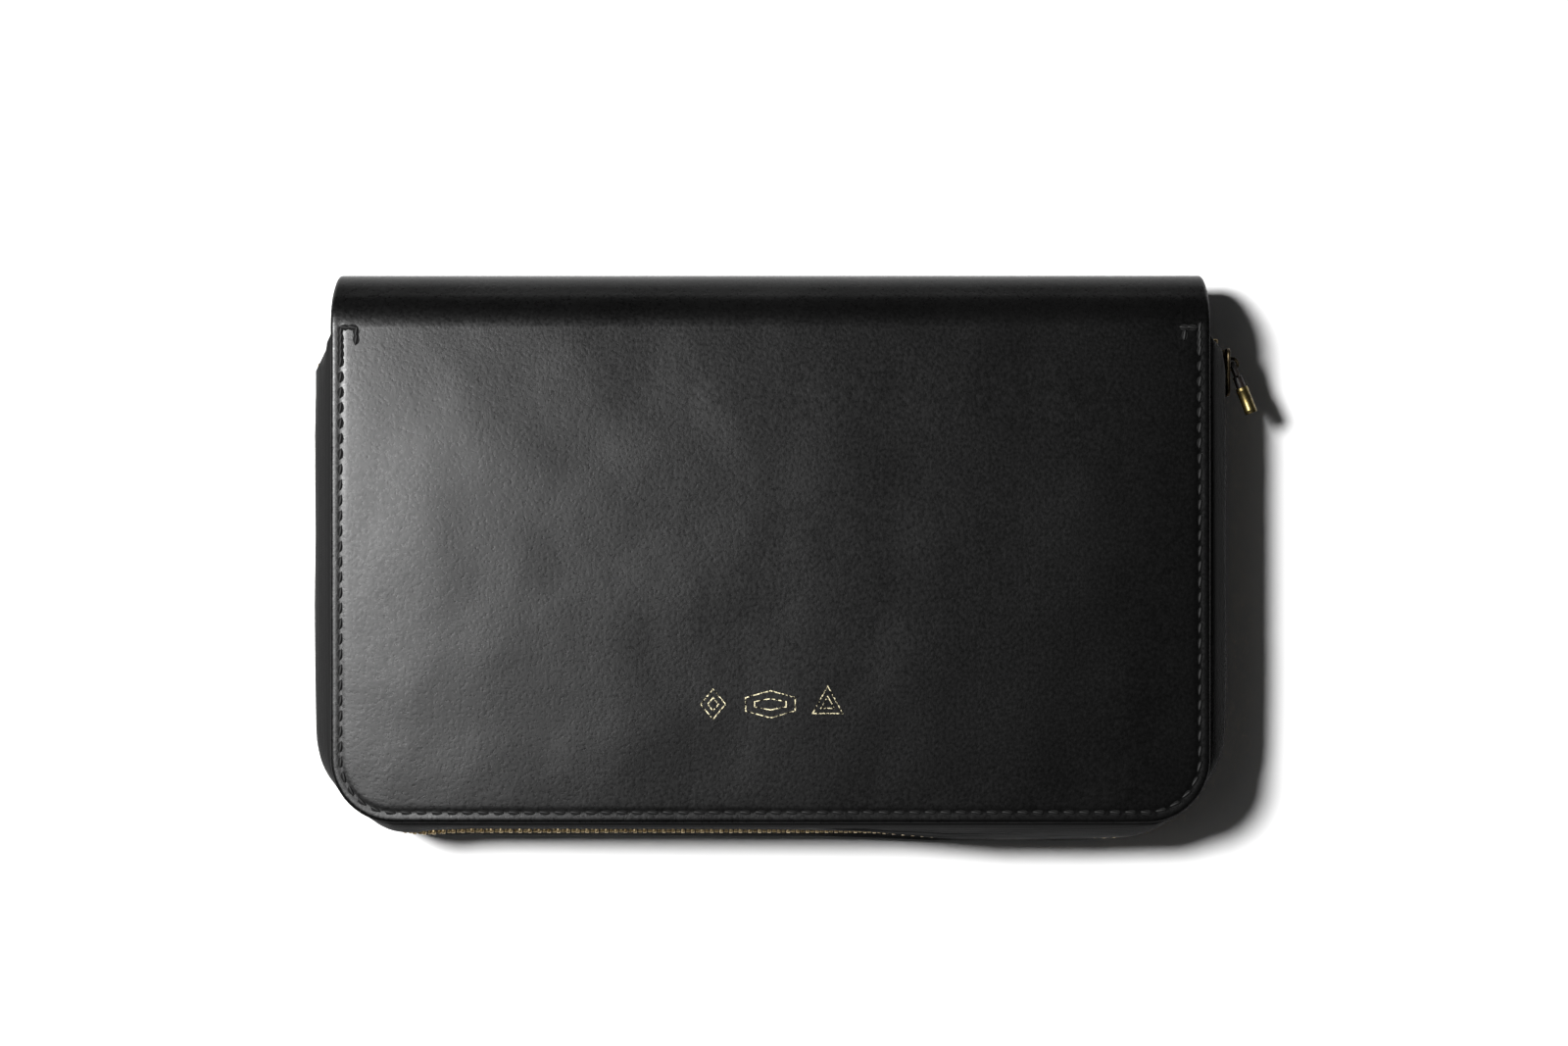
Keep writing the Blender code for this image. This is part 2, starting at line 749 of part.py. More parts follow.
def coin_zip():
    """Tapes, tooth rows and stops of the coin pocket's straight zip."""
    half = COIN_ZIP_LENGTH / 2
    tape_half = half + COIN_ZIP.slider_length
    edge = COIN_ZIP.row_foot + GAP
    for name, sign in (("coin_tape_spine_side", 1), ("coin_tape_free_side", -1)):
        ends = sorted((COIN_ZIP_Y + sign * edge, COIN_ZIP_Y + sign * COIN_TAPE_WIDTH))
        outline = rounded_outline(-tape_half, tape_half, ends[0], ends[1], 0, 0)
        depth = COIN_ZIP_AT - COIN_ZIP.tape / 2
        plate(name, outline, False, depth, COIN_ZIP.tape, TAPE_CLOTH)
    up = Vector((0, 0, 1))
    towards_free = Vector((0, -1, 0))
    last_tooth = COIN_SLIDER_X - COIN_ZIP.slider_length / 2 - GAP
    line = [(last_tooth, COIN_ZIP_Y), (-half, COIN_ZIP_Y)]
    stations = [
        (place + up * COIN_ZIP_AT, normal) for place, normal in along(line, COIN_ZIP.pitch / 2, 0)
    ]
    tooth_row("coin_teeth_spine_side", stations, towards_free, up, COIN_ZIP, True, BRASS)
    tooth_row("coin_teeth_free_side", stations, -towards_free, up, COIN_ZIP, False, BRASS)
    thick = COIN_ZIP.teeth_thickness
    width = 2 * COIN_ZIP.row_foot
    ahead = COIN_SLIDER_X + COIN_ZIP.slider_length / 2 + GAP + thick / 2
    for name, x in (("coin_top_stop", ahead), ("coin_bottom_stop", -half - GAP - thick)):
        zip_stop(name, (x, COIN_ZIP_Y, COIN_ZIP_AT), (thick, width, thick), False)


def main():
    cover_layers("back", front=False)
    cover_layers("front", front=True)
    spine()
    zip_tape("zip_tape_lower", front=False)
    zip_tape("zip_tape_upper", front=True, joint=FRONT)
    main_teeth()
    zip_stops()
    along_zip = Matrix.Rotation(math.pi / 2, 4, "Z") @ Matrix.Rotation(math.pi / 2, 4, "X")
    slider("zip_slider", MAIN_ZIP, ZIP_SLIDER.location, along_zip, ZIP_SLIDER)
    main_pull()
    front_pockets()
    back_pockets()
    coin_zip()
    slider("coin_slider", COIN_ZIP, COIN_SLIDER.location, Matrix.Identity(4), COIN_SLIDER)
    coin_pull()


main()
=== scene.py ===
# %% [markdown]
# # A zip-around wallet, from the cut leather to the last tooth
# The wallet is two stiff halves joined by a rounded spine and closed by a zip on three sides. A packed
# model already fixes where every part is and how it moves, so this lesson starts by loading that frame.
# Everything made here is in metres and takes its place from the frame, never from a guess.

# %% Load the frame
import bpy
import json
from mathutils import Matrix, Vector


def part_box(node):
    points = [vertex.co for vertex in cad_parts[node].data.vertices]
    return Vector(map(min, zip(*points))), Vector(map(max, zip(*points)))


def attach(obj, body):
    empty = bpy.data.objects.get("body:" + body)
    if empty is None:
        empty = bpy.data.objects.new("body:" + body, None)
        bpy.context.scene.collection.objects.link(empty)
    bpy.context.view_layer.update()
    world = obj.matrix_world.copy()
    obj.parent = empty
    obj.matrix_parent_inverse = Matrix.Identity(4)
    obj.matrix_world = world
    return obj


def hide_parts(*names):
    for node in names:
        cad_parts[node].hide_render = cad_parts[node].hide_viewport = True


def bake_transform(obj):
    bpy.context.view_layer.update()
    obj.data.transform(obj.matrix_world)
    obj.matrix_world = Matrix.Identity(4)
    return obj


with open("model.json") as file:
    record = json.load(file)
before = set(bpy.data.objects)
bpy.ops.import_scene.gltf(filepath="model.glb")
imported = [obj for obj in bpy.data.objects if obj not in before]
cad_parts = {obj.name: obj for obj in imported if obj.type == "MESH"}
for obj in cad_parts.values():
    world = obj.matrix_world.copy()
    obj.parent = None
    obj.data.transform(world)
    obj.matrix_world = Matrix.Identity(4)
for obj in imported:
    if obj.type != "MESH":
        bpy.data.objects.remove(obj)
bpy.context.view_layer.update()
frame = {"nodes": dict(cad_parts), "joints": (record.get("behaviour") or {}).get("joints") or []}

import json
import math

import bpy
from mathutils import Matrix, Vector, noise

joints = {joint["name"]: joint for joint in frame["joints"]}

# %% [markdown]
# The covers and the spine set every other size. The front cover's box gives the width, the free edge and
# the leather's thickness. The first fold's axis lies where the flat back cover meets the round spine, so
# it gives the spine's centre line.

# %% Sizes from the frame
MM = 0.001
cover_low, cover_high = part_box("front_cover_leather")
HALF_WIDTH = cover_high.x
FREE_EDGE = cover_low.y
THICKNESS = cover_high.z
LEATHER = cover_high.z - cover_low.z
MID = THICKNESS / 2
SPINE_Y = joints["spine_lower_fold"]["pos_m"][1]
COVER_DEPTH = SPINE_Y - FREE_EDGE
SPINE_GIRTH = math.pi / 2 * MID
GIRTH = SPINE_GIRTH + COVER_DEPTH
CORNER = 14.5 * MM  # radius of the covers' rounded corners
print("cover", round(2 * HALF_WIDTH / MM), "by", round(COVER_DEPTH / MM, 1), "mm")

# %% [markdown]
# Blender's operators act on whatever is selected, so these few helpers pick one object, go in and out of
# edit mode and finish a piece. A new primitive is selected alone, so it is only renamed and drawn out. A
# finished piece keeps its place in its mesh and its object at the origin, so that patterns line up.

# %% Helpers for picking, editing and finishing
def pick(obj):
    bpy.ops.object.select_all(action="DESELECT")
    obj.select_set(True)
    bpy.context.view_layer.objects.active = obj
    return obj


def added(name, scale=None):
    """The primitive that was just added, under a plain name and drawn out by the scale."""
    obj = pick(bpy.context.object)
    obj.name = name
    obj.data.name = name
    if scale:
        obj.scale = scale
        bpy.ops.object.transform_apply(location=True, rotation=True, scale=True)
    return obj


def select_in_edit(obj, kind, test):
    """Opens edit mode on obj with only the vertices, edges or faces that pass the test selected."""
    bpy.ops.object.mode_set(mode="OBJECT")
    mesh = obj.data
    for part in (mesh.vertices, mesh.edges, mesh.polygons):
        part.foreach_set("select", [False] * len(part))
    chosen = 0
    for item in {"VERT": mesh.vertices, "EDGE": mesh.edges, "FACE": mesh.polygons}[kind]:
        item.select = test(item)
        chosen += item.select
    bpy.context.tool_settings.mesh_select_mode = [kind == k for k in ("VERT", "EDGE", "FACE")]
    bpy.ops.object.mode_set(mode="EDIT")
    return chosen


def in_object_mode():
    bpy.ops.object.mode_set(mode="OBJECT")


def bevel_edges(obj, width, segments=2, angle=40):
    """Rounds every edge sharper than the angle, as a modifier that is then applied."""
    modifier = pick(obj).modifiers.new("rounded", "BEVEL")
    modifier.width = width
    modifier.segments = segments
    modifier.limit_method = "ANGLE"
    modifier.angle_limit = math.radians(angle)
    bpy.ops.object.modifier_apply(modifier=modifier.name)


def finish_piece(obj, smooth=35):
    """Place into the mesh, smooth shading below the given angle."""
    pick(obj)
    bpy.ops.object.transform_apply(location=True, rotation=True, scale=True)
    bpy.ops.object.shade_smooth_by_angle(angle=math.radians(smooth))
    return obj


def joined(pieces, name):
    """All the pieces as one object."""
    bpy.ops.object.select_all(action="DESELECT")
    for piece in pieces:
        piece.select_set(True)
    bpy.context.view_layer.objects.active = pieces[0]
    bpy.ops.object.join()
    return added(name)


def copied(obj, name, matrix=None):
    """A copy with its own mesh, moved there."""
    copy = obj.copy()
    copy.data = obj.data.copy()
    copy.name = name
    bpy.context.scene.collection.objects.link(copy)
    if matrix is not None:
        copy.data.transform(matrix)
    return copy


# %% [markdown]
# A material here is a Principled shader with a few nodes in front of it. Constant values sit on the
# shader's own sockets. Colours are picked as sRGB hex, as on a colour chart, and one function turns them
# to the linear values that a renderer needs. One more function adds a node with its settings and links.

# %% Helpers for materials
def linear(hex_colour):
    channels = [int(hex_colour[i : i + 2], 16) / 255 for i in (1, 3, 5)]
    return (*[c / 12.92 if c <= 0.04045 else ((c + 0.055) / 1.055) ** 2.4 for c in channels], 1)


def new_material(name, **sockets):
    """A material whose Principled shader has these values, and its node tree and shader."""
    made = bpy.data.materials.new(name)
    made.use_nodes = True
    shader = made.node_tree.nodes["Principled BSDF"]
    for socket, value in sockets.items():
        shader.inputs[socket.replace("_", " ")].default_value = value
    return made, made.node_tree, shader


def add_node(tree, kind, settings=None, **links):
    """A node with its settings. A link is another node's socket or a value, and i6 means input 6."""
    node = tree.nodes.new(kind)
    for key, value in (settings or {}).items():
        setattr(node, key, value)
    for key, value in links.items():
        numbered = key[0] == "i" and key[1:].isdigit()
        socket = node.inputs[int(key[1:]) if numbered else key.replace("_", " ")]
        if isinstance(value, bpy.types.NodeSocket):
            tree.links.new(value, socket)
        else:
            socket.default_value = value
    return node


def grain(tree, size, detail=3.0):
    """Height of a grain of this size in metres, from object coordinates."""
    place = add_node(tree, "ShaderNodeTexCoord").outputs["Object"]
    return add_node(
        tree, "ShaderNodeTexNoise", Vector=place, Scale=1 / size, Detail=detail, Roughness=0.6
    ).outputs["Fac"]


def coloured(tree, shader, pattern, dark, light, dark_at=0.3, light_at=0.7):
    """Base colour that goes from dark to light as the pattern rises."""
    share = add_node(
        tree, "ShaderNodeMapRange", Value=pattern, From_Min=dark_at, From_Max=light_at
    ).outputs["Result"]
    mixed = add_node(
        tree, "ShaderNodeMix", {"data_type": "RGBA"}, i0=share, i6=linear(dark), i7=linear(light)
    )
    tree.links.new(mixed.outputs[2], shader.inputs["Base Color"])


def roughened(tree, shader, pattern, low, high):
    """Roughness that goes from low to high as the pattern rises."""
    spread = add_node(
        tree, "ShaderNodeMapRange", Value=pattern, From_Min=0.3, From_Max=0.7, To_Min=low, To_Max=high
    )
    tree.links.new(spread.outputs["Result"], shader.inputs["Roughness"])


def bumped(tree, shader, layers):
    """Stacks bumps on the shader, each (height, metres of relief)."""
    normal = None
    for height, relief in layers:
        links = {"Normal": normal} if normal else {}
        bump = add_node(tree, "ShaderNodeBump", Height=height, Distance=relief, Strength=1.0, **links)
        normal = bump.outputs["Normal"]
    tree.links.new(normal, shader.inputs["Normal"])


# %% [markdown]
# The cover is vegetable-tanned cowhide, dyed black and glazed. The glaze makes it smooth, so it mirrors a
# lamp in a wide soft sheen. Close up it still has pores about half a millimetre apart, drawn at 0.8 mm so
# that they show. Over centimetres the hide rises and sinks, which breaks the sheen into soft patches.

# %% Smooth black cowhide
def smooth_black_cowhide():
    made, tree, shader = new_material("glazed_black_cowhide", IOR=1.5, Specular_IOR_Level=0.21)
    pores = grain(tree, 0.8 * MM)
    hide = grain(tree, 42 * MM, 1.5)
    wear = grain(tree, 16 * MM, 4.0)
    coloured(tree, shader, wear, "#030303", "#070707")
    roughened(tree, shader, pores, 0.25, 0.36)
    bumped(tree, shader, [(hide, 0.9 * MM), (wear, 0.08 * MM), (pores, 0.036 * MM)])
    return made


COWHIDE = smooth_black_cowhide()

# %% [markdown]
# Inside is thinner goat leather with a printed pebble grain. It is matt, and a shade lighter than the
# cover, because it isn't glazed. Pebbles are cells, so a Voronoi texture gives their height.

# %% Goat leather lining
def goat_lining():
    made, tree, shader = new_material(
        "printed_goat_lining", Roughness=0.62, IOR=1.5, Specular_IOR_Level=0.2
    )
    place = add_node(tree, "ShaderNodeTexCoord").outputs["Object"]
    pebbles = add_node(
        tree, "ShaderNodeTexVoronoi", {"feature": "SMOOTH_F1"}, Vector=place, Scale=1 / (1.1 * MM)
    ).outputs["Distance"]
    shade = grain(tree, 12 * MM)
    coloured(tree, shader, shade, "#0c0b0b", "#141313")
    bumped(tree, shader, [(shade, 0.15 * MM), (pebbles, 0.12 * MM)])
    return made


LINING = goat_lining()

# %% [markdown]
# Zip tape is polyester twill: fine yarns that cross on the slant. A sine of x + y + z gives bands on one
# slant and a sine of x + y - z gives the other, on walls that face sideways or lengthwise alike. Real
# yarns are about 0.3 mm apart, and they are drawn at 0.7 mm so that they can be seen.

# %% Twill zip tape
YARN_SPACING = 0.7 * MM


def twill_tape():
    made, tree, shader = new_material(
        "black_twill_tape", Roughness=0.8, Specular_IOR_Level=0.15, Sheen_Weight=0.05
    )
    place = add_node(tree, "ShaderNodeTexCoord").outputs["Object"]
    waves = 2 * math.pi / YARN_SPACING
    bands = []
    for slant in (waves, -waves):
        along = add_node(
            tree, "ShaderNodeVectorMath", {"operation": "DOT_PRODUCT"}, i0=place, i1=(waves, waves, slant)
        )
        bands.append(add_node(tree, "ShaderNodeMath", {"operation": "SINE"}, i0=along.outputs["Value"]))
    weave = add_node(
        tree, "ShaderNodeMath", {"operation": "MULTIPLY"}, i0=bands[0].outputs[0], i1=bands[1].outputs[0]
    ).outputs[0]
    coloured(tree, shader, weave, "#080808", "#131313", -1, 1)
    bumped(tree, shader, [(weave, 0.05 * MM)])
    return made


TAPE = twill_tape()

# %% [markdown]
# The zip's metal is brass, aged to a brown that stays in the hollows and is rubbed off on the ribs. A
# metal's colour is its reflection, so the brown is both darker and rougher than the rubbed brass. The
# foil is made in the same way, with a hard line between what has worn off and what is left.

# %% Aged brass and gold foil
def brass(name, rubbed, aged, spread, roughness, aged_at=0.3, rubbed_at=0.7):
    made, tree, shader = new_material(name, Metallic=1.0)
    patches = grain(tree, spread, 4.0)
    coloured(tree, shader, patches, aged, rubbed, aged_at, rubbed_at)
    roughened(tree, shader, patches, roughness + 0.15, roughness)
    bumped(tree, shader, [(grain(tree, 0.25 * MM), 0.01 * MM)])
    return made


AGED_BRASS = brass("aged_brass", "#c9b58c", "#64502f", 1.4 * MM, 0.33)
ANTIQUE_BRASS = brass("antique_brass", "#7d7048", "#352d1a", 1.2 * MM, 0.3)
BLACKENED_BRASS = brass("blackened_brass", "#574c38", "#1b1813", 1.8 * MM, 0.34)
FOIL = brass("hot_stamped_gold_foil", "#e2d8b4", "#0d0c0a", 0.7 * MM, 0.3, 0.46, 0.58)

# %% [markdown]
# Four plain finishes are left: the waxed thread that sews the covers, a near-black matt finish painted as
# the shade in the slits that it goes through, the lace on the zip's pull, and the grey board that stiffens
# each cover and stays out of sight.

# %% Thread, lace and board
def plain_finish(name, light, dark, size, roughness, relief):
    made, tree, shader = new_material(name, Roughness=roughness, Specular_IOR_Level=0.25)
    mottle = grain(tree, size)
    coloured(tree, shader, mottle, dark, light)
    bumped(tree, shader, [(mottle, relief)])
    return made


THREAD = plain_finish("waxed_black_thread", "#0c0c0c", "#050505", 0.5 * MM, 0.6, 0.05 * MM)
# Painted shade: a near-black matt finish for the patches that stand for the shade inside the punched
# slits.
SLIT_SHADE_FINISH = plain_finish("punched_hole", "#050505", "#020202", 1 * MM, 0.9, 0.02 * MM)
LACE = plain_finish("dark_cowhide_lace", "#1f1612", "#120c0a", 0.8 * MM, 0.5, 0.06 * MM)
BOARD = plain_finish("pressed_grey_board", "#8c8272", "#6f675a", 1.5 * MM, 0.9, 0.05 * MM)
print(len(bpy.data.materials), "materials")


def finish_with(obj, material):
    obj.data.materials.clear()
    obj.data.materials.append(material)
    return obj


# %% [markdown]
# The cover is one piece of leather, cut flat and wrapped round the spine from the back to the front. So it
# is also drawn flat here, in the pattern that a maker would cut. X runs across the wallet and V along the
# girth, with V = 0 half way round the spine. The wrap function turns a point of the pattern, and a depth
# below the leather's face, into its place on the wallet.

# %% From the flat pattern to the wallet
SIDE_FALL = 1.2 * MM  # the front's face falls this much towards its two sides
END_FALL = 0.5 * MM  # and this much towards its free edge
SHOULDER = 1.5 * MM  # where it turns into the spine, the corner is this much softer
SHOULDER_AT = 8 * MM  # the softest place, this far round from the flat cover
SHOULDER_REACH = 14 * MM
SPINE_TAPER = 0.9 * MM  # each end of the spine draws in this much half way round
STITCH_INSET = 2.4 * MM
STITCH_PITCH = 3.5 * MM
GROOVE = 0.15 * MM  # depth that the stitches pull the leather down
GROOVE_WIDTH = 0.75 * MM
EDGE_ROLL = 0.45 * MM  # depth that the cut edge is rolled over
EDGE_ROLL_WIDTH = 0.8 * MM


def smooth_step(low, high, value):
    share = min(max((value - low) / (high - low), 0), 1)
    return share * share * (3 - 2 * share)


def fall(x, v):
    """How far the padded front falls away below a flat face. The back lies flat."""
    towards_front = smooth_step(0.1 * SPINE_GIRTH, SPINE_GIRTH, v)
    side = SIDE_FALL * (abs(x) / HALF_WIDTH) ** 6
    end = END_FALL * max(0, (v - SPINE_GIRTH) / COVER_DEPTH) ** 6
    from_shoulder = (v - SPINE_GIRTH + SHOULDER_AT) / SHOULDER_REACH
    shoulder = SHOULDER * math.exp(-(from_shoulder**2)) * smooth_step(0, SPINE_GIRTH / 2, v)
    return math.hypot(towards_front * (side + end), shoulder)


def from_edge(x, v):
    """Distance in from the pattern's rounded outline."""
    across, along = HALF_WIDTH - abs(x), GIRTH - abs(v)
    if across < CORNER and along < CORNER:
        return CORNER - math.hypot(CORNER - across, CORNER - along)
    return min(across, along)


def sewn_depth(x, v):
    """Depth of the leather's face: pressed in along the stitches, rolled over at its cut edge."""
    inset = from_edge(x, v)
    sewn = smooth_step(SPINE_GIRTH - 1.5 * MM, SPINE_GIRTH + 0.5 * MM, abs(v))
    groove = GROOVE * math.exp(-(((inset - STITCH_INSET) / GROOVE_WIDTH) ** 2))
    roll = EDGE_ROLL * max(0, 1 - inset / EDGE_ROLL_WIDTH) ** 2
    return fall(x, v) + sewn * groove + roll


def wrap(x, v, depth):
    """A pattern point's place on the closed wallet, at a depth below the flat outer face."""
    turned = min(max(v, -SPINE_GIRTH), SPINE_GIRTH) / MID
    past = abs(v) - SPINE_GIRTH
    radius = MID - depth
    y = SPINE_Y + radius * math.cos(turned) - max(past, 0)
    drawn_in = SPINE_TAPER * max(0, 1 - (v / SPINE_GIRTH) ** 2) ** 6
    return Vector((x * (1 - drawn_in / HALF_WIDTH), y, MID + radius * math.sin(turned)))


print("pattern", round(2 * HALF_WIDTH / MM), "by", round(2 * GIRTH / MM, 1), "mm")

# %% [markdown]
# The blank starts as a plane. Bevelling its four corner vertices rounds them. Insets then give rings that
# follow the outline, close together where the edge rolls over and where the stitches press in. Bisect
# cuts it across wherever the wrapped leather will bend. The cuts that part two pieces later get a close
# neighbour on each side, so that their shading meets without a line.

# %% Cut and shape a sheet of leather
RING_STEPS = [0.12, 0.2, 0.25, 0.3, 0.4, 0.4, 0.35, 0.38, 0.38, 0.35, 0.4, 0.5, 1.0, 2.0]  # in mm
PARTINGS = [-SPINE_GIRTH * 2 / 3, 0, SPINE_GIRTH * 2 / 3]
BESIDE_PARTING = 0.04 * MM


def flat_blank(name, inset, rings, bends):
    """A flat sheet in pattern space, inset from the cover's outline."""
    bpy.ops.mesh.primitive_plane_add(size=1)
    sheet = added(name, (2 * (HALF_WIDTH - inset), 2 * (GIRTH - inset), 1))
    bpy.ops.object.mode_set(mode="EDIT")
    bpy.ops.mesh.select_all(action="SELECT")
    bpy.ops.mesh.bevel(offset=CORNER - inset, segments=14, affect="VERTICES")
    select_in_edit(sheet, "FACE", lambda face: True)
    for step in rings:
        bpy.ops.mesh.inset(thickness=step * MM, use_even_offset=True)
    across = [HALF_WIDTH * share for share in (0.3, 0.55, 0.7, 0.8, 0.87, 0.93, 0.965)]
    along = [SPINE_GIRTH + COVER_DEPTH * share for share in (0.3, 0.55, 0.7, 0.8, 0.88, 0.95)]
    around = [SPINE_GIRTH * step / bends for step in range(1, bends + 1)]
    close = [cut + side * BESIDE_PARTING for cut in PARTINGS for side in (-1, 1)]
    cuts = [(x, "X") for x in [0, *across, *[-x for x in across]]]
    cuts += [(v, "V") for v in [*along, *[-v for v in along], *around, *[-v for v in around]]]
    cuts += [(v, "V") for v in [*PARTINGS, *close]]
    for place, way in cuts:
        bpy.ops.mesh.select_all(action="SELECT")
        normal = (1, 0, 0) if way == "X" else (0, 1, 0)
        bpy.ops.mesh.bisect(plane_co=tuple(place * n for n in normal), plane_no=normal)
    bpy.ops.mesh.select_all(action="SELECT")
    bpy.ops.mesh.flip_normals()
    in_object_mode()
    return sheet


def wrapped(sheet, depth, thickness):
    """Wraps the sheet round the wallet at the depth that the function gives, and thickens it inwards."""
    for vertex in sheet.data.vertices:
        x, v = vertex.co.x, vertex.co.y
        vertex.co = wrap(x, v, depth(x, v))
    wall = pick(sheet).modifiers.new("thickness", "SOLIDIFY")
    wall.thickness = thickness
    wall.offset = -1
    wall.use_even_offset = True
    bpy.ops.object.modifier_apply(modifier=wall.name)
    return sheet


PARTING_ANGLE = math.radians(30)


def parted(sheet, names, material):
    """The wrapped sheet cut into four, along the middle of each strip of the spine."""
    middle = (0, SPINE_Y, MID)
    pieces = []
    for index, name in enumerate(names):
        piece = pick(copied(sheet, name))
        side = -1 if index < 2 else 1
        in_spine = index in (1, 2)
        towards_spine = (0, math.cos(PARTING_ANGLE), -side * math.sin(PARTING_ANGLE))
        cuts = (((0, 0, side), False), (towards_spine, not in_spine))
        bpy.ops.object.mode_set(mode="EDIT")
        for normal, drop_ahead in cuts:
            bpy.ops.mesh.select_all(action="SELECT")
            bpy.ops.mesh.bisect(
                plane_co=middle,
                plane_no=normal,
                use_fill=True,
                clear_outer=drop_ahead,
                clear_inner=not drop_ahead,
            )
        in_object_mode()
        finish_with(finish_piece(piece, 50), material)
        pieces.append(piece)
    bpy.data.objects.remove(sheet)
    return pieces


def on_spine(turn):
    """A point of the spine's outer face, turned this many degrees from the back cover."""
    angle = math.radians(turn)
    return (0, SPINE_Y + MID * math.sin(angle), MID - MID * math.cos(angle))


FOLD_START = SPINE_Y - 3 * MM  # the flat covers start to bend this near the spine


def fold_with_wallet(pieces):
    """Bakes each of the four pieces' place into its mesh. The bodies and stretches paired with them are
    not used.
    """
    chain = ["back", "spine_lower", "spine_middle", "spine_upper", "front"]
    ends = [((0, FOLD_START, 0), on_spine(27)), (on_spine(33), on_spine(87))]
    ends += [(on_spine(93), on_spine(147)), (on_spine(153), (0, FOLD_START, THICKNESS))]
    for piece, first, second, (start, end) in zip(pieces, chain, chain[1:], ends):
        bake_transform(piece)


# %% [markdown]
# Now the cover itself. Its face follows the sewn depth, so it is padded, rolled at the edge and pressed
# in along the stitches. It replaces five stiff pieces of the frame. Four pieces are needed because a
# piece can bend over one joint only, and the spine has four.

# %% The outer leather
blank = flat_blank("cover_blank", 0, RING_STEPS, 36)
cover_names = ["cowhide_back", "cowhide_spine_low", "cowhide_spine_high", "cowhide_front"]
cover = parted(wrapped(blank, sewn_depth, LEATHER), cover_names, COWHIDE)
fold_with_wallet(cover)
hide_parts("back_cover_leather", "spine_leather_lower")
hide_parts("spine_leather_middle")
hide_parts("front_cover_leather", "spine_leather_upper")
print([len(piece.data.polygons) for piece in cover], "faces in the cover's pieces")

# %% [markdown]
# The lining is wrapped in the same way, further in and a little smaller all round, so that the zip's tape
# can be sewn in between. It needs no rolled edge and no groove.

# %% The lining
lining_low, lining_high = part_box("front_lining")
LINING_INSET = HALF_WIDTH - lining_high.x
LINING_AT = THICKNESS - lining_high.z
LINING_THICK = lining_high.z - lining_low.z
FOLLOWED = 0.12  # share of the padded cover's fall that the lining follows


def lining_depth(x, v):
    return LINING_AT + FOLLOWED * fall(x, v)


blank = flat_blank("lining_blank", LINING_INSET, [0.5, 1.5], 18)
lining_names = ["goat_back", "goat_spine_low", "goat_spine_high", "goat_front"]
lining = parted(wrapped(blank, lining_depth, LINING_THICK), lining_names, LINING)
fold_with_wallet(lining)
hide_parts("back_lining", "spine_lining_lower")
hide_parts("spine_lining_middle")
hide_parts("front_lining", "spine_lining_upper")
for node in ("back_stiffener_board", "front_stiffener_board"):
    frame["nodes"][node].data.materials.clear()
    frame["nodes"][node].data.materials.append(BOARD)
print(round(LINING_AT / MM, 2), "mm below the cover's face")

# %% [markdown]
# Stitches, holes and zip teeth all repeat along a line that goes down one side, round two corners and up
# the other side. One function gives that line for any inset, and another walks along it in equal steps
# and gives the place and direction of each step.

# %% Lines round three sides
def three_sides(inset, radius, right_top, left_top, steps=24):
    """Points down the right side, along the free edge and up the left side."""
    x, low = HALF_WIDTH - inset, FREE_EDGE + inset
    quarter = [math.pi / 2 * step / steps for step in range(steps + 1)]
    centre_x, centre_y = x - radius, low + radius
    right = [(centre_x + radius * math.cos(a), centre_y - radius * math.sin(a)) for a in quarter]
    left = [(-px, py) for px, py in reversed(right)]
    return [Vector((px, py, 0)) for px, py in [(x, right_top), *right, *left, (-x, left_top)]]


def walk(points, spacing, start=0.0):
    """A matrix at each step along the line, X along it and Z up."""
    steps, travelled, wanted = [], 0.0, start
    for here, after in zip(points, points[1:]):
        length = (after - here).length
        while wanted <= travelled + length:
            place = here.lerp(after, (wanted - travelled) / length)
            heading = math.atan2((after - here).y, (after - here).x)
            steps.append(Matrix.Translation(place) @ Matrix.Rotation(heading, 4, "Z"))
            wanted += spacing
        travelled += length
    return steps


def row_of(model, matrices, name):
    """One object that holds a copy of the model at each matrix."""
    return joined([copied(model, f"{name}_{n}", matrix) for n, matrix in enumerate(matrices)], name)


# %% [markdown]
# The covers are saddle stitched in waxed thread. Each stitch is a short thick strand that lies in a
# punched slit, and the slit's shade is painted as a near-black matt patch. Both are modelled once, from
# spheres drawn out long. The strand is turned a little across the line, as saddle stitches lie, and the
# two are copied along the groove. At the spine the line hooks inwards, and the stitches there are doubled
# to lock the thread. The back's stitches are the front's, mirrored, so their faces are flipped to point
# out again.

# %% The perimeter stitching
bpy.ops.mesh.primitive_uv_sphere_add(segments=8, ring_count=7, radius=1)
stitch = added("stitch")
stitch.scale = (1.42 * MM, 0.34 * MM, 0.27 * MM)
stitch.rotation_euler.z = math.radians(-9)
finish_piece(stitch, 60)
STITCH_LIFT = 0.08 * MM
# The patch painted as a slit's shade: a sphere squashed to a thin dark ellipse.
bpy.ops.mesh.primitive_uv_sphere_add(segments=8, ring_count=5, radius=1)
hole = added("hole")
hole.scale = (1.25 * MM, 0.8 * MM, 0.1 * MM)
finish_piece(hole, 60)


def front_face(x, y):
    """Height of the sewn front cover."""
    return THICKNESS - sewn_depth(x, SPINE_GIRTH + SPINE_Y - y)


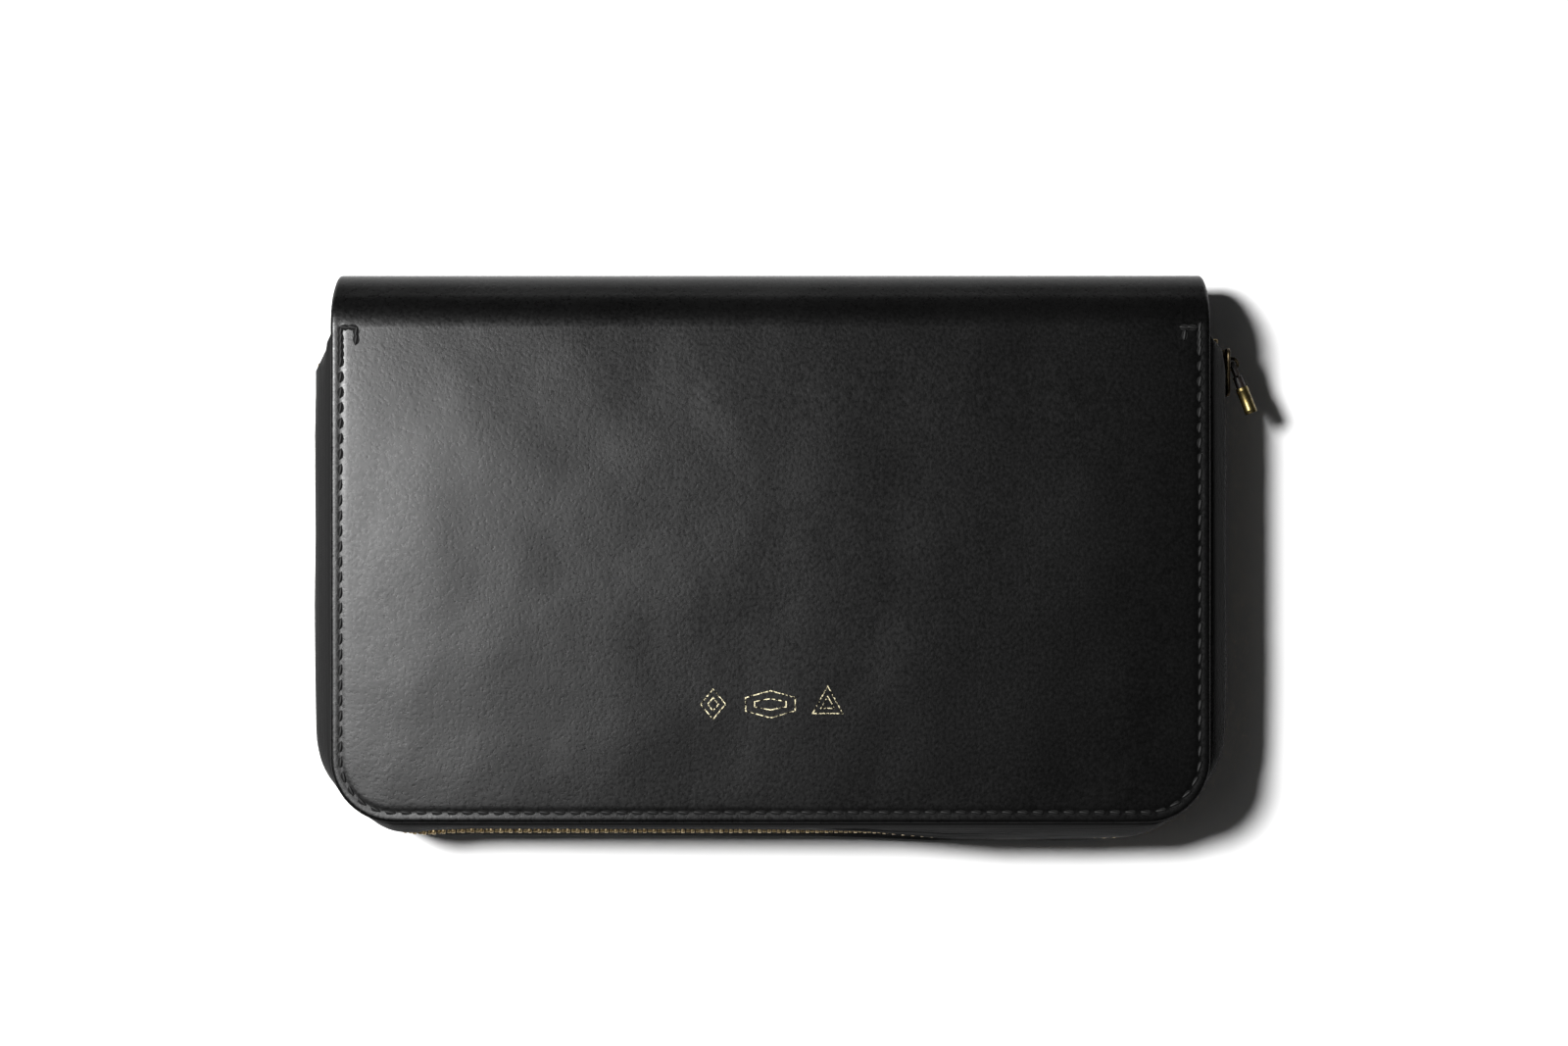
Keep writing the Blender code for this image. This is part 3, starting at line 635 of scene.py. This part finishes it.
seam = three_sides(STITCH_INSET, CORNER - STITCH_INSET, SPINE_Y, SPINE_Y)
hook = [Vector((seam[0].x - STITCH_PITCH, SPINE_Y - back, 0)) for back in (STITCH_PITCH, 0)]
seam = [*hook, *seam, *[Vector((-point.x, point.y, 0)) for point in reversed(hook)]]
steps = walk(seam, STITCH_PITCH, STITCH_PITCH / 2)
doubled = walk(seam, STITCH_PITCH, STITCH_PITCH)
steps += [*doubled[:3], *doubled[-4:]]
# Each stitch gets its thread and, under it, a dark patch painted as the shade of its slit.
for half, flip in (("front", 1), ("back", -1)):
    for model, lift, name, finish in (
        (stitch, STITCH_LIFT, "threads", THREAD),
        (hole, 0, "thread_holes", SLIT_SHADE_FINISH),
    ):
        places = []
        for matrix in steps:
            x, y = matrix.translation.xy
            z = lift + (front_face(x, y) if half == "front" else GROOVE)
            places.append(Matrix.Translation((0, 0, z)) @ matrix @ Matrix.Diagonal((1, 1, flip, 1)))
        row = row_of(model, places, f"{half}_{name}")
        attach(row, half)
        if half == "back":
            select_in_edit(pick(row), "FACE", lambda face: True)
            bpy.ops.mesh.flip_normals()
            in_object_mode()
        finish_with(row, finish)
print(len(steps), "stitches along each cover")
bpy.data.objects.remove(hole)

# %% [markdown]
# Many small parts already have the right shape in the frame, but with knife-sharp edges and no detail.
# A merged copy of such a node is a good start: its flat faces are made whole again, and then bevels,
# creases or subdivision give it the finish of the real part.

# %% Start from a part of the frame
def from_frame(node, name, whole_faces=True):
    piece = copied(frame["nodes"][node], name)
    piece.parent = None
    for key in list(piece.keys()):
        del piece[key]
    pick(piece)
    bpy.ops.mesh.customdata_custom_splitnormals_clear()
    bpy.ops.object.mode_set(mode="EDIT")
    bpy.ops.mesh.select_all(action="SELECT")
    bpy.ops.mesh.remove_doubles(threshold=0.002 * MM)
    if whole_faces:
        bpy.ops.mesh.dissolve_limited(angle_limit=math.radians(2))
    else:
        bpy.ops.mesh.tris_convert_to_quads()
    in_object_mode()
    return piece


# %% [markdown]
# The zip's two tapes make the wallet's wall. Cloth that is sewn along one edge and held by teeth along
# the other never lies dead flat, so each tape is subdivided and then eased in and out by a few tenths of
# a millimetre. Near the front cover it also follows the padded leather down.

# %% The zip tapes
stop_low, stop_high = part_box("zip_bottom_stop")
CHAIN_X = -(stop_low.x + stop_high.x) / 2  # the zip's centre line beside each cover
CHAIN_OUT = CHAIN_X - HALF_WIDTH
CHAIN_CORNER = CORNER + CHAIN_OUT / (1 - math.sqrt(0.5))
WAVES = 0.35 * MM
CALM_FROM = SPINE_Y - 16 * MM  # the waves die down from here to the next place
CALM_TO = SPINE_Y - 8 * MM
DRAWN_IN = 3.4 * MM  # at the spine, over a length that starts further down on the left
DRAWN_IN_LENGTH = 8.5 * MM
DRAWN_IN_LEFT = 10 * MM
DRAWN_IN_RIGHT = 7.2 * MM
TIGHT = 1.2 * MM  # along the free edge, between these two places
TIGHT_FROM = (-90 * MM, -70 * MM)
TIGHT_TO = (20 * MM, 42 * MM)
TIGHT_DEPTH = 8 * MM
CORNER_TIGHT = 1.1 * MM
UPPER_SLACK = 0.7 * MM  # the upper tape hangs out over the teeth, apart from where it is tight
UPPER_TIGHT = 1.7 * MM


def outwards(point):
    """The level direction that leads out of the wallet there."""
    x = min(max(point.x, CORNER - HALF_WIDTH), HALF_WIDTH - CORNER)
    nearest = Vector((x, max(point.y, FREE_EDGE + CORNER), 0))
    return Vector((point.x - nearest.x, point.y - nearest.y, 0)).normalized()


def tight_edge(point):
    """1 along the left part of the free edge, where the tapes are pulled tight, and 0 elsewhere."""
    across = smooth_step(*TIGHT_FROM, point.x) * (1 - smooth_step(*TIGHT_TO, point.x))
    return across * (1 - smooth_step(FREE_EDGE, FREE_EDGE + TIGHT_DEPTH, point.y))


def drawn_in(point):
    """How far the whole wall is drawn in: at the spine, at both corners and along the tight edge."""
    start = SPINE_Y - (DRAWN_IN_LEFT if point.x < 0 else DRAWN_IN_RIGHT)
    at_spine = smooth_step(start, start + DRAWN_IN_LENGTH, point.y)
    x, y, _ = outwards(point)
    return DRAWN_IN * at_spine + TIGHT * tight_edge(point) + CORNER_TIGHT * abs(2 * x * y) ** 1.5


def eased(point):
    """Where a point of a smooth tape lies once the cloth has settled."""
    from_chain = abs(point.z - MID) / MID
    unsewn = 1 - smooth_step(0.62, 0.84, from_chain)
    free = smooth_step(0.1, 0.4, from_chain) * unsewn
    wave = noise.noise(point * 45) + 0.5 * noise.noise(point * 110)
    wave *= 1 - smooth_step(CALM_FROM, CALM_TO, point.y)
    push = wave * WAVES * free - drawn_in(point) * unsewn
    if point.z > MID:
        push += (UPPER_SLACK - UPPER_TIGHT * tight_edge(point)) * free
    moved = point + outwards(point) * push
    if point.z > MID:
        v = SPINE_GIRTH + SPINE_Y - point.y
        x = min(abs(point.x), HALF_WIDTH)
        moved.z -= fall(x, min(v, GIRTH)) * smooth_step(0.15, 0.8, from_chain)
    return moved


for node, body in (("zip_tape_lower", "back"), ("zip_tape_upper", "front")):
    tape = from_frame(node, node.replace("zip_tape", "twill_wall"), whole_faces=False)
    softened = tape.modifiers.new("softened", "SUBSURF")
    softened.levels = 2
    softened.render_levels = 2
    bpy.ops.object.modifier_apply(modifier=softened.name)
    for vertex in tape.data.vertices:
        vertex.co = eased(vertex.co)
    finish_with(finish_piece(tape, 60), TAPE)
    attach(tape, body)
    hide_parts(node)
    print(tape.name, len(tape.data.polygons), "faces")

# %% [markdown]
# A metal zip's tooth is a small stamped block clamped on the tape's edge: two legs grip the tape, a
# narrow neck stands out from it, and the head hooks between two heads of the other row. It is a cube
# here, cut across three times, pinched at the neck and with its sharp edges rounded.

# %% One brass tooth
TOOTH_WIDTH = 0.88 * MM
TOOTH_THICK = 1.8 * MM
TOOTH_FOOT = -2.3 * MM
TOOTH_NECK = -0.75 * MM
TOOTH_TIP = 0.62 * MM
NEAR = 0.01 * MM  # close enough to be the same place

bpy.ops.mesh.primitive_cube_add(size=1, location=(0, 0, (TOOTH_FOOT + TOOTH_TIP) / 2))
tooth = added("tooth", (TOOTH_WIDTH, TOOTH_THICK, TOOTH_TIP - TOOTH_FOOT))
bpy.ops.object.mode_set(mode="EDIT")
for height in (-1.3 * MM, TOOTH_NECK, -0.3 * MM):
    bpy.ops.mesh.select_all(action="SELECT")
    bpy.ops.mesh.bisect(plane_co=(0, 0, height), plane_no=(0, 0, 1))
for height, narrower, thinner in (
    (TOOTH_NECK, 0.72, 1),
    (TOOTH_FOOT, 0.9, 0.8),
    (TOOTH_TIP, 0.8, 0.92),
):
    select_in_edit(tooth, "VERT", lambda vertex: abs(vertex.co.z - height) < NEAR)
    bpy.ops.transform.resize(value=(narrower, thinner, 1))
in_object_mode()
bevel_edges(tooth, 0.14 * MM, segments=1, angle=50)
finish_piece(tooth, 50)
print(len(tooth.data.polygons), "faces a tooth")

# %% [markdown]
# The two rows stand on the same line, one pointing up and one pointing down, half a pitch apart. They
# run from behind the slider, down the right side and round to the bottom stop on the left.

# %% Both rows of teeth
MAIN_PITCH = 2.2 * MM
slider_low, slider_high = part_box("zip_slider")
chain = three_sides(-CHAIN_OUT, CHAIN_CORNER, slider_low.y - 0.6 * MM, stop_low.y - 0.7 * MM)
upside_down = Matrix.Rotation(math.pi, 4, "X")
for node, body, start, turn in (
    ("zip_teeth_lower", "back", 0, Matrix.Identity(4)),
    ("zip_teeth_upper", "front", MAIN_PITCH / 2, upside_down),
):
    lifted = Matrix.Translation((0, 0, MID))
    matrices = []
    for matrix in walk(chain, MAIN_PITCH, start):
        place = matrix.translation
        moved = Matrix.Translation(-outwards(place) * drawn_in(place))
        matrices.append(lifted @ moved @ matrix @ turn)
    row = row_of(tooth, matrices, node.replace("zip_teeth", "brass_teeth"))
    finish_with(row, AGED_BRASS)
    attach(row, body)
    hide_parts(node)
    print(row.name, len(matrices), "teeth")

# %% [markdown]
# The inner coin pocket has a smaller zip of the same kind, which runs straight across. Its teeth are the
# same tooth made smaller, lying on their backs.

# %% The coin zip's teeth
COIN_PITCH = 1.8 * MM
COIN_SHARE = 0.85
coin_low, coin_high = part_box("coin_slider")
coin_stop_low, coin_stop_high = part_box("coin_bottom_stop")
coin_middle = (coin_stop_low + coin_stop_high) / 2
coin_line = [
    Vector((coin_low.x - 0.5 * MM, coin_middle.y, 0)),
    Vector((coin_stop_high.x + 0.6 * MM, coin_middle.y, 0)),
]
smaller = Matrix.Scale(COIN_SHARE, 4)
for node, start, side in (("coin_teeth_spine_side", 0, 1), ("coin_teeth_free_side", 0.5, -1)):
    lying = Matrix.Rotation(side * math.pi / 2, 4, "X") @ smaller
    lifted = Matrix.Translation((0, 0, coin_middle.z))
    matrices = [lifted @ m @ lying for m in walk(coin_line, COIN_PITCH, start * COIN_PITCH)]
    row = row_of(tooth, matrices, node.replace("coin_teeth", "coin_brass_teeth"))
    finish_with(row, AGED_BRASS)
    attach(row, "back")
    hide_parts(node)
    print(row.name, len(matrices), "teeth")
bpy.data.objects.remove(tooth)

# %% [markdown]
# A slider is two plates joined by a wedge at the nose, with lips along both sides that keep the tapes in
# the channel, and a bridge on top that the pull hangs on. It is modelled lying flat, nose along X and the
# bridge up, and then turned into place. Both zips have one, so a function makes them.

# %% A zip slider
def slider_plate(name, length, width, thick, height, nose_round, tail_share):
    """One plate: a cube narrowed at the tail, with its upright edges and then its rims rounded."""
    bpy.ops.mesh.primitive_cube_add(size=1, location=(0, 0, height))
    plate = added(name, (length, width, thick))
    select_in_edit(plate, "VERT", lambda vertex: vertex.co.x < 0)
    bpy.ops.transform.resize(value=(1, tail_share, 1))

    def upright(edge):
        foot, head = (plate.data.vertices[index].co.z for index in edge.vertices)
        return abs(head - foot) > thick / 2

    select_in_edit(plate, "EDGE", upright)
    bpy.ops.mesh.bevel(offset=nose_round, segments=5)
    in_object_mode()
    bevel_edges(plate, thick * 0.28, angle=60)
    return plate


def side_lip(name, length, size, y, z):
    bpy.ops.mesh.primitive_cube_add(size=1, location=(0, y, z))
    lip = added(name, (length, *size))
    bevel_edges(lip, min(size) * 0.3)
    return lip


def bridge_over(name, ahead, hinge, inside, bar, width, foot):
    """An arch spun half way round the pull's axis, with a straight leg down from each end."""
    bpy.ops.mesh.primitive_plane_add(size=1, location=(ahead + inside + bar / 2, 0, hinge))
    arch = added(name, (bar, width, 1))
    bpy.ops.object.mode_set(mode="EDIT")
    bpy.ops.mesh.select_all(action="SELECT")
    bpy.ops.mesh.spin(steps=12, angle=math.pi, center=(ahead, 0, hinge), axis=(0, 1, 0))
    down = {"value": (0, 0, foot - hinge)}
    bpy.ops.mesh.extrude_region_move(TRANSFORM_OT_translate=down)
    select_in_edit(
        arch,
        "FACE",
        lambda face: abs(face.center.z - hinge) < bar / 20 and face.center.x > ahead,
    )
    bpy.ops.mesh.extrude_region_move(TRANSFORM_OT_translate=down)
    bpy.ops.mesh.select_all(action="SELECT")
    bpy.ops.mesh.remove_doubles(threshold=0.001 * MM)
    bpy.ops.mesh.normals_make_consistent(inside=False)
    in_object_mode()
    bevel_edges(arch, bar * 0.22, angle=50)
    return arch


def make_slider(name, length, width, channel, plate, ahead, hinge, inside, bar, bridge, place):
    """Two plates with lips, a bridge and a wedge, joined and turned into place."""
    face = channel + plate
    middle = channel + plate / 2
    pieces = []
    for side in (1, -1):
        pieces.append(
            slider_plate(f"{name}_plate", length, width, plate, side * middle, width * 0.2, 0.82)
        )
        for edge in (1, -1):
            lip = (plate * 0.9, channel * 0.55)
            y = edge * (width / 2 - plate * 0.55)
            z = side * (channel - lip[1] / 2 + 0.1 * MM)
            pieces.append(side_lip(f"{name}_lip", length * 0.52, lip, y * 0.9, z))
    pieces.append(
        bridge_over(f"{name}_bridge", ahead, hinge, inside, bar, bridge, face - plate / 2)
    )
    bpy.ops.mesh.primitive_cylinder_add(
        vertices=4, radius=width * 0.19, depth=2 * channel + plate, location=(length * 0.3, 0, 0)
    )
    wedge = added(f"{name}_wedge", (1.25, 0.7, 1))
    bevel_edges(wedge, 0.15 * MM)
    whole = joined([*pieces, wedge], name)
    whole.matrix_world = place
    return finish_piece(whole, 40)


main_hinge = Vector(joints["zip_pull_swing"]["pos_m"])
slider_centre = Vector((CHAIN_X, (slider_low.y + slider_high.y) / 2, MID))
upright_nose_up = Matrix.Rotation(math.pi / 2, 4, "Z") @ Matrix.Rotation(math.pi / 2, 4, "X")
main_slider = make_slider(
    "brass_slider",
    length=slider_high.y - slider_low.y,
    width=slider_high.z - slider_low.z,
    channel=1.3 * MM,
    plate=0.7 * MM,
    ahead=main_hinge.y - slider_centre.y,
    hinge=main_hinge.x - CHAIN_X,
    inside=0.9 * MM,
    bar=0.7 * MM,
    bridge=1.4 * MM,
    place=Matrix.Translation(slider_centre) @ upright_nose_up,
)
coin_hinge = Vector(joints["coin_pull_lift"]["pos_m"])
coin_centre = Vector(((coin_low.x + coin_high.x) / 2, coin_middle.y, coin_middle.z))
coin_slider = make_slider(
    "coin_brass_slider",
    length=coin_high.x - coin_low.x,
    width=coin_high.y - coin_low.y,
    channel=1.2 * MM,
    plate=0.7 * MM,
    ahead=coin_hinge.x - coin_centre.x,
    hinge=coin_hinge.z - coin_centre.z,
    inside=0.8 * MM,
    bar=0.6 * MM,
    bridge=1.1 * MM,
    place=Matrix.Translation(coin_centre),
)
for piece, node in ((main_slider, "zip_slider"), (coin_slider, "coin_slider")):
    finish_with(piece, BLACKENED_BRASS)
    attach(piece, node)
    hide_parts(node)
print("slider", round((slider_high.y - slider_low.y) / MM, 1), "mm long")

# %% [markdown]
# The pull is a leather lace looped through the bridge, with its end crimped in a brass ferrule. The lace
# keeps the frame's shape with its edges rounded, and a round fold of the same leather fills it out where
# its two ends meet. The ferrule is a turned barrel: a cylinder with a bead raised near each end and a
# countersunk mouth.

# %% The lace and its ferrule
lace = from_frame("pull_lace", "cowhide_lace")
bevel_edges(lace, 0.28 * MM, segments=3, angle=50)
ferrule_low, ferrule_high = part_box("pull_ferrule")
ferrule_centre = (ferrule_low + ferrule_high) / 2
hang = ferrule_centre - main_hinge
hang_down = hang.to_track_quat("Z", "Y").to_matrix().to_4x4()
bpy.ops.mesh.primitive_cylinder_add(vertices=24, radius=1.1 * MM, depth=3.4 * MM)
fold = added("lace_fold")
bevel_edges(fold, 0.35 * MM, segments=3, angle=50)
fold.matrix_world = Matrix.Translation(main_hinge + hang.normalized() * 4.7 * MM) @ hang_down
lace = joined([lace, finish_piece(fold)], "cowhide_lace")
finish_with(finish_piece(lace, 60), LACE)
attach(lace, "zip_pull")
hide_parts("pull_lace")

FERRULE_LENGTH = 6.3 * MM
FERRULE_RADIUS = 0.88 * (ferrule_high.z - ferrule_low.z) / 2
BEAD_AT = 0.38  # of the length, either way from the middle
bpy.ops.mesh.primitive_cylinder_add(vertices=32, radius=FERRULE_RADIUS, depth=FERRULE_LENGTH)
ferrule = added("brass_ferrule")
bpy.ops.object.mode_set(mode="EDIT")
for share in [bead + beside for bead in (-BEAD_AT, BEAD_AT) for beside in (-0.04, 0, 0.04)]:
    bpy.ops.mesh.select_all(action="SELECT")
    bpy.ops.mesh.bisect(plane_co=(0, 0, share * FERRULE_LENGTH), plane_no=(0, 0, 1))
beads = select_in_edit(
    ferrule, "VERT", lambda vertex: abs(abs(vertex.co.z) - BEAD_AT * FERRULE_LENGTH) < NEAR
)
bpy.ops.transform.resize(value=(1.07, 1.07, 1))
select_in_edit(ferrule, "FACE", lambda face: abs(face.normal.z) > 0.9)
bpy.ops.mesh.inset(thickness=0.3 * MM)
bpy.ops.mesh.inset(thickness=0.12 * MM, depth=-0.25 * MM)
in_object_mode()
bevel_edges(ferrule, 0.12 * MM, angle=50)
ferrule.matrix_world = Matrix.Translation(ferrule_centre) @ hang_down
finish_with(finish_piece(ferrule, 40), ANTIQUE_BRASS)
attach(ferrule, "zip_pull")
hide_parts("pull_ferrule")
print(beads, "bead vertices")

# %% [markdown]
# The small stops and the coin pull keep the frame's shape too. Their edges are rounded, as tumbling does
# to stamped brass. The main zip's stops move with the tapes that they are clamped on.

# %% Stops and the coin pull
TOP_STOP_STRETCH = 1.35
small_brass = [
    ("zip_top_stop_lower", "back", 0.2),
    ("zip_top_stop_upper", "front", 0.2),
    ("zip_bottom_stop", "back", 0.3),
    ("coin_top_stop", "back", 0.25),
    ("coin_bottom_stop", "back", 0.25),
    ("coin_pull", "coin_pull", 0.2),
]
for node, body, rounding in small_brass:
    piece = from_frame(node, f"{node}_rounded")
    if node.startswith("zip_top_stop"):
        taller = Matrix.Diagonal((1, 1, TOP_STOP_STRETCH, 1))
        to_middle = Matrix.Translation((0, 0, MID))
        piece.data.transform(to_middle @ taller @ to_middle.inverted())
    if node.startswith("zip"):
        middle = (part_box(node)[0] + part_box(node)[1]) / 2
        piece.data.transform(Matrix.Translation(-outwards(middle) * drawn_in(middle)))
    bevel_edges(piece, rounding * MM, angle=50)
    finish_with(finish_piece(piece, 50), AGED_BRASS)
    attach(piece, body)
    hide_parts(node)
for node in ("coin_tape_spine_side", "coin_tape_free_side"):
    frame["nodes"][node].data.materials.clear()
    frame["nodes"][node].data.materials.append(TAPE)
print(len(small_brass), "small brass parts")

# %% [markdown]
# Pockets are flat panels of the lining leather. What makes them look cut and sewn is the edge: a rounded,
# painted rim and a creased line pressed a millimetre inside it with a hot iron. Insets on the face that
# shows give the crease, and a bevel gives the rim.

# %% Pocket panels
CREASE_INSET = 1.1 * MM
CREASE_WIDTH = 0.44 * MM
CREASE_DEPTH = 0.14 * MM


def pocket_panel(node, body, shows):
    """A creased panel. shows is 1 if its face looks up in the closed wallet, and -1 if it looks down."""
    panel = from_frame(node, node.replace("_pocket", "_leather"))
    select_in_edit(panel, "FACE", lambda face: face.normal.z * shows > 0.9)
    bpy.ops.mesh.inset(thickness=CREASE_INSET)
    bpy.ops.mesh.inset(thickness=CREASE_WIDTH / 2, depth=-CREASE_DEPTH)
    bpy.ops.mesh.inset(thickness=CREASE_WIDTH / 2, depth=CREASE_DEPTH)
    in_object_mode()
    bevel_edges(panel, 0.24 * MM, angle=60)
    finish_with(finish_piece(panel, 20), LINING)
    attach(panel, body)
    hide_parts(node)


card_nodes = [node for node in frame["nodes"] if node.startswith("card_pocket")]
for node in ["slip_pocket_panel", *card_nodes]:
    pocket_panel(node, "front", -1)
for node in ("note_pocket_panel", "coin_pocket_panel", "coin_pocket_facing"):
    pocket_panel(node, "back", 1)
print(len(card_nodes), "card pockets")

# %% [markdown]
# The pockets are sewn down along their sides. The stitches are finer than the cover's, and each one lies
# on whichever panel is on top there, so its height is looked up from the panels' boxes.

# %% Pocket stitching
FINE_PITCH = 2.6 * MM
POCKET_SEAM = 2.2 * MM  # in from a pocket's side
SEAM_START = 0.8 * MM  # in from a pocket's mouth
fine = Matrix.Diagonal((0.72, 0.7, 0.6, 1))


def sewn_line(x, y_from, y_to, nodes, shows):
    """Matrices for fine stitches along Y at this x, on the panel that shows there."""
    places = []
    boxes = [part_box(node) for node in nodes]
    for step in range(int((y_to - y_from) / FINE_PITCH)):
        y = y_from + (step + 0.5) * FINE_PITCH
        under = [b for b in boxes if b[0].x < x < b[1].x and b[0].y + 0.4 * MM < y < b[1].y]
        if not under:
            continue
        z = max(b[1].z for b in under) if shows > 0 else min(b[0].z for b in under)
        turn = Matrix.Rotation(math.pi / 2, 4, "Z")
        places.append(Matrix.Translation((x, y, z + shows * 0.06 * MM)) @ turn @ fine)
    return places


def sewn_sides(outermost, nodes, shows):
    """Matrices for the stitches down both sides of the outermost of these panels."""
    low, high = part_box(outermost)
    start = low.y + SEAM_START
    left = sewn_line(low.x + POCKET_SEAM, start, high.y, nodes, shows)
    return left + sewn_line(high.x - POCKET_SEAM, start, high.y, nodes, shows)


card_places = []
for node in ("card_pocket_left_1", "card_pocket_right_1"):
    card_places += sewn_sides(node, card_nodes, -1)
note_places = sewn_sides("coin_pocket_panel", ["note_pocket_panel", "coin_pocket_panel"], 1)
for places, name, body in ((card_places, "card_threads", "front"), (note_places, "note_threads", "back")):
    row = row_of(stitch, places, name)
    finish_with(row, THREAD)
    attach(row, body)
    print(name, len(places), "stitches")
bpy.data.objects.remove(stitch)

# %% [markdown]
# Three small marks are stamped in gold foil near the front's free edge. They are plain shapes that stand
# for no maker: a lozenge, a flattened hexagon and a triangle, each with a smaller one inside. Each is a
# circle with few corners, inset to a thin outline, with the middle removed. Its height is looked up on
# the cover, so it lies on the leather, and Solidify makes it as thick as foil and glue.

# %% The foil marks
MARK_Y = FREE_EDGE + 27 * MM
MARK_SPACING = 13 * MM
MARK_LINE = 0.24 * MM
FOIL_THICK = 0.02 * MM


def foil_shape(name, corners, width, height, x):
    bpy.ops.mesh.primitive_circle_add(vertices=corners, radius=0.5, fill_type="NGON")
    mark = added(name)
    mark.scale = (width / mark.dimensions.x, height / mark.dimensions.y, 1)
    mark.location = (x, MARK_Y, 0)
    bpy.ops.object.transform_apply(location=True, rotation=True, scale=True)
    select_in_edit(mark, "FACE", lambda face: True)
    bpy.ops.mesh.inset(thickness=MARK_LINE)
    bpy.ops.mesh.delete(type="FACE")
    in_object_mode()
    for vertex in mark.data.vertices:
        vertex.co.z = front_face(vertex.co.x, vertex.co.y)
    raised = mark.modifiers.new("raised", "SOLIDIFY")
    raised.thickness = FOIL_THICK
    raised.offset = 1
    bpy.ops.object.modifier_apply(modifier=raised.name)
    return mark


marks = [
    foil_shape("lozenge", 4, 6.0 * MM, 7.2 * MM, -MARK_SPACING),
    foil_shape("lozenge_core", 4, 2.8 * MM, 3.4 * MM, -MARK_SPACING),
    foil_shape("hexagon", 6, 11.5 * MM, 6.4 * MM, 0),
    foil_shape("hexagon_core", 6, 7.4 * MM, 2.8 * MM, 0),
    foil_shape("triangle", 3, 7.2 * MM, 6.6 * MM, MARK_SPACING),
    foil_shape("triangle_core", 3, 3.4 * MM, 3.1 * MM, MARK_SPACING),
]
foil = finish_with(finish_piece(joined(marks, "foil_marks"), 30), FOIL)
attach(foil, "front")
print("marks at y", round(MARK_Y / MM, 1), "mm")

# %% [markdown]
# The stage is a sheet of white paper under one soft lamp, high on the left and a little towards the
# spine. The lamp is strong enough to burn the paper to white, and there is almost no other light, so the
# shadow on the right is deep. A second, weak lamp is seen only in the glaze of the leather and the
# metal: it stands nearer the middle, where the left side of the cover mirrors it. The camera looks
# straight down.

# %% Paper, lamp and camera
bpy.ops.mesh.primitive_plane_add(size=6, location=(0, 0, -0.02 * MM))
paper = added("paper")
bpy.ops.object.transform_apply(location=True)
paper_white = new_material("white_paper", Roughness=0.9, Base_Color=linear("#f4f4f4"))[0]
paper.data.materials.append(paper_white)

CAMERA_HEIGHT = 839.6 * MM
CAMERA_ASIDE = 3.1 * MM
CAMERA_PAST_MIDDLE = 11.85 * MM
KEY_AT = (-0.63, 0.27, 0.98)
GLAZE_AT = (-0.3, 0.03, 0.75)
camera = bpy.data.objects.new("camera", bpy.data.cameras.new("camera"))
camera.data.lens = 85
camera.data.sensor_width = 36
camera.data.clip_start = 0.01
camera_y = (SPINE_Y + FREE_EDGE) / 2 + CAMERA_PAST_MIDDLE
camera.location = (CAMERA_ASIDE, camera_y, THICKNESS + CAMERA_HEIGHT)
bpy.context.scene.collection.objects.link(camera)
bpy.context.scene.camera = camera


def lamp(name, place, size, power):
    """A round lamp that faces the wallet."""
    light = bpy.data.objects.new(name, bpy.data.lights.new(name, "AREA"))
    light.data.shape = "DISK"
    light.data.size = size
    light.data.energy = power
    light.location = place
    light.rotation_euler = (-Vector(place)).to_track_quat("-Z", "Y").to_euler()
    bpy.context.scene.collection.objects.link(light)
    return light


lamp("soft_key", KEY_AT, size=0.32, power=30)
glaze = lamp("glaze_reflection", GLAZE_AT, size=0.3, power=5.4)
glaze.visible_diffuse = False
world = bpy.data.worlds.new("dim_room")
world.use_nodes = True
world.node_tree.nodes["Background"].inputs["Color"].default_value = (1, 1, 1, 1)
world.node_tree.nodes["Background"].inputs["Strength"].default_value = 0.03
bpy.context.scene.world = world
bpy.context.scene.view_settings.view_transform = "Standard"
print("camera", round(CAMERA_HEIGHT / MM), "mm above the front cover")
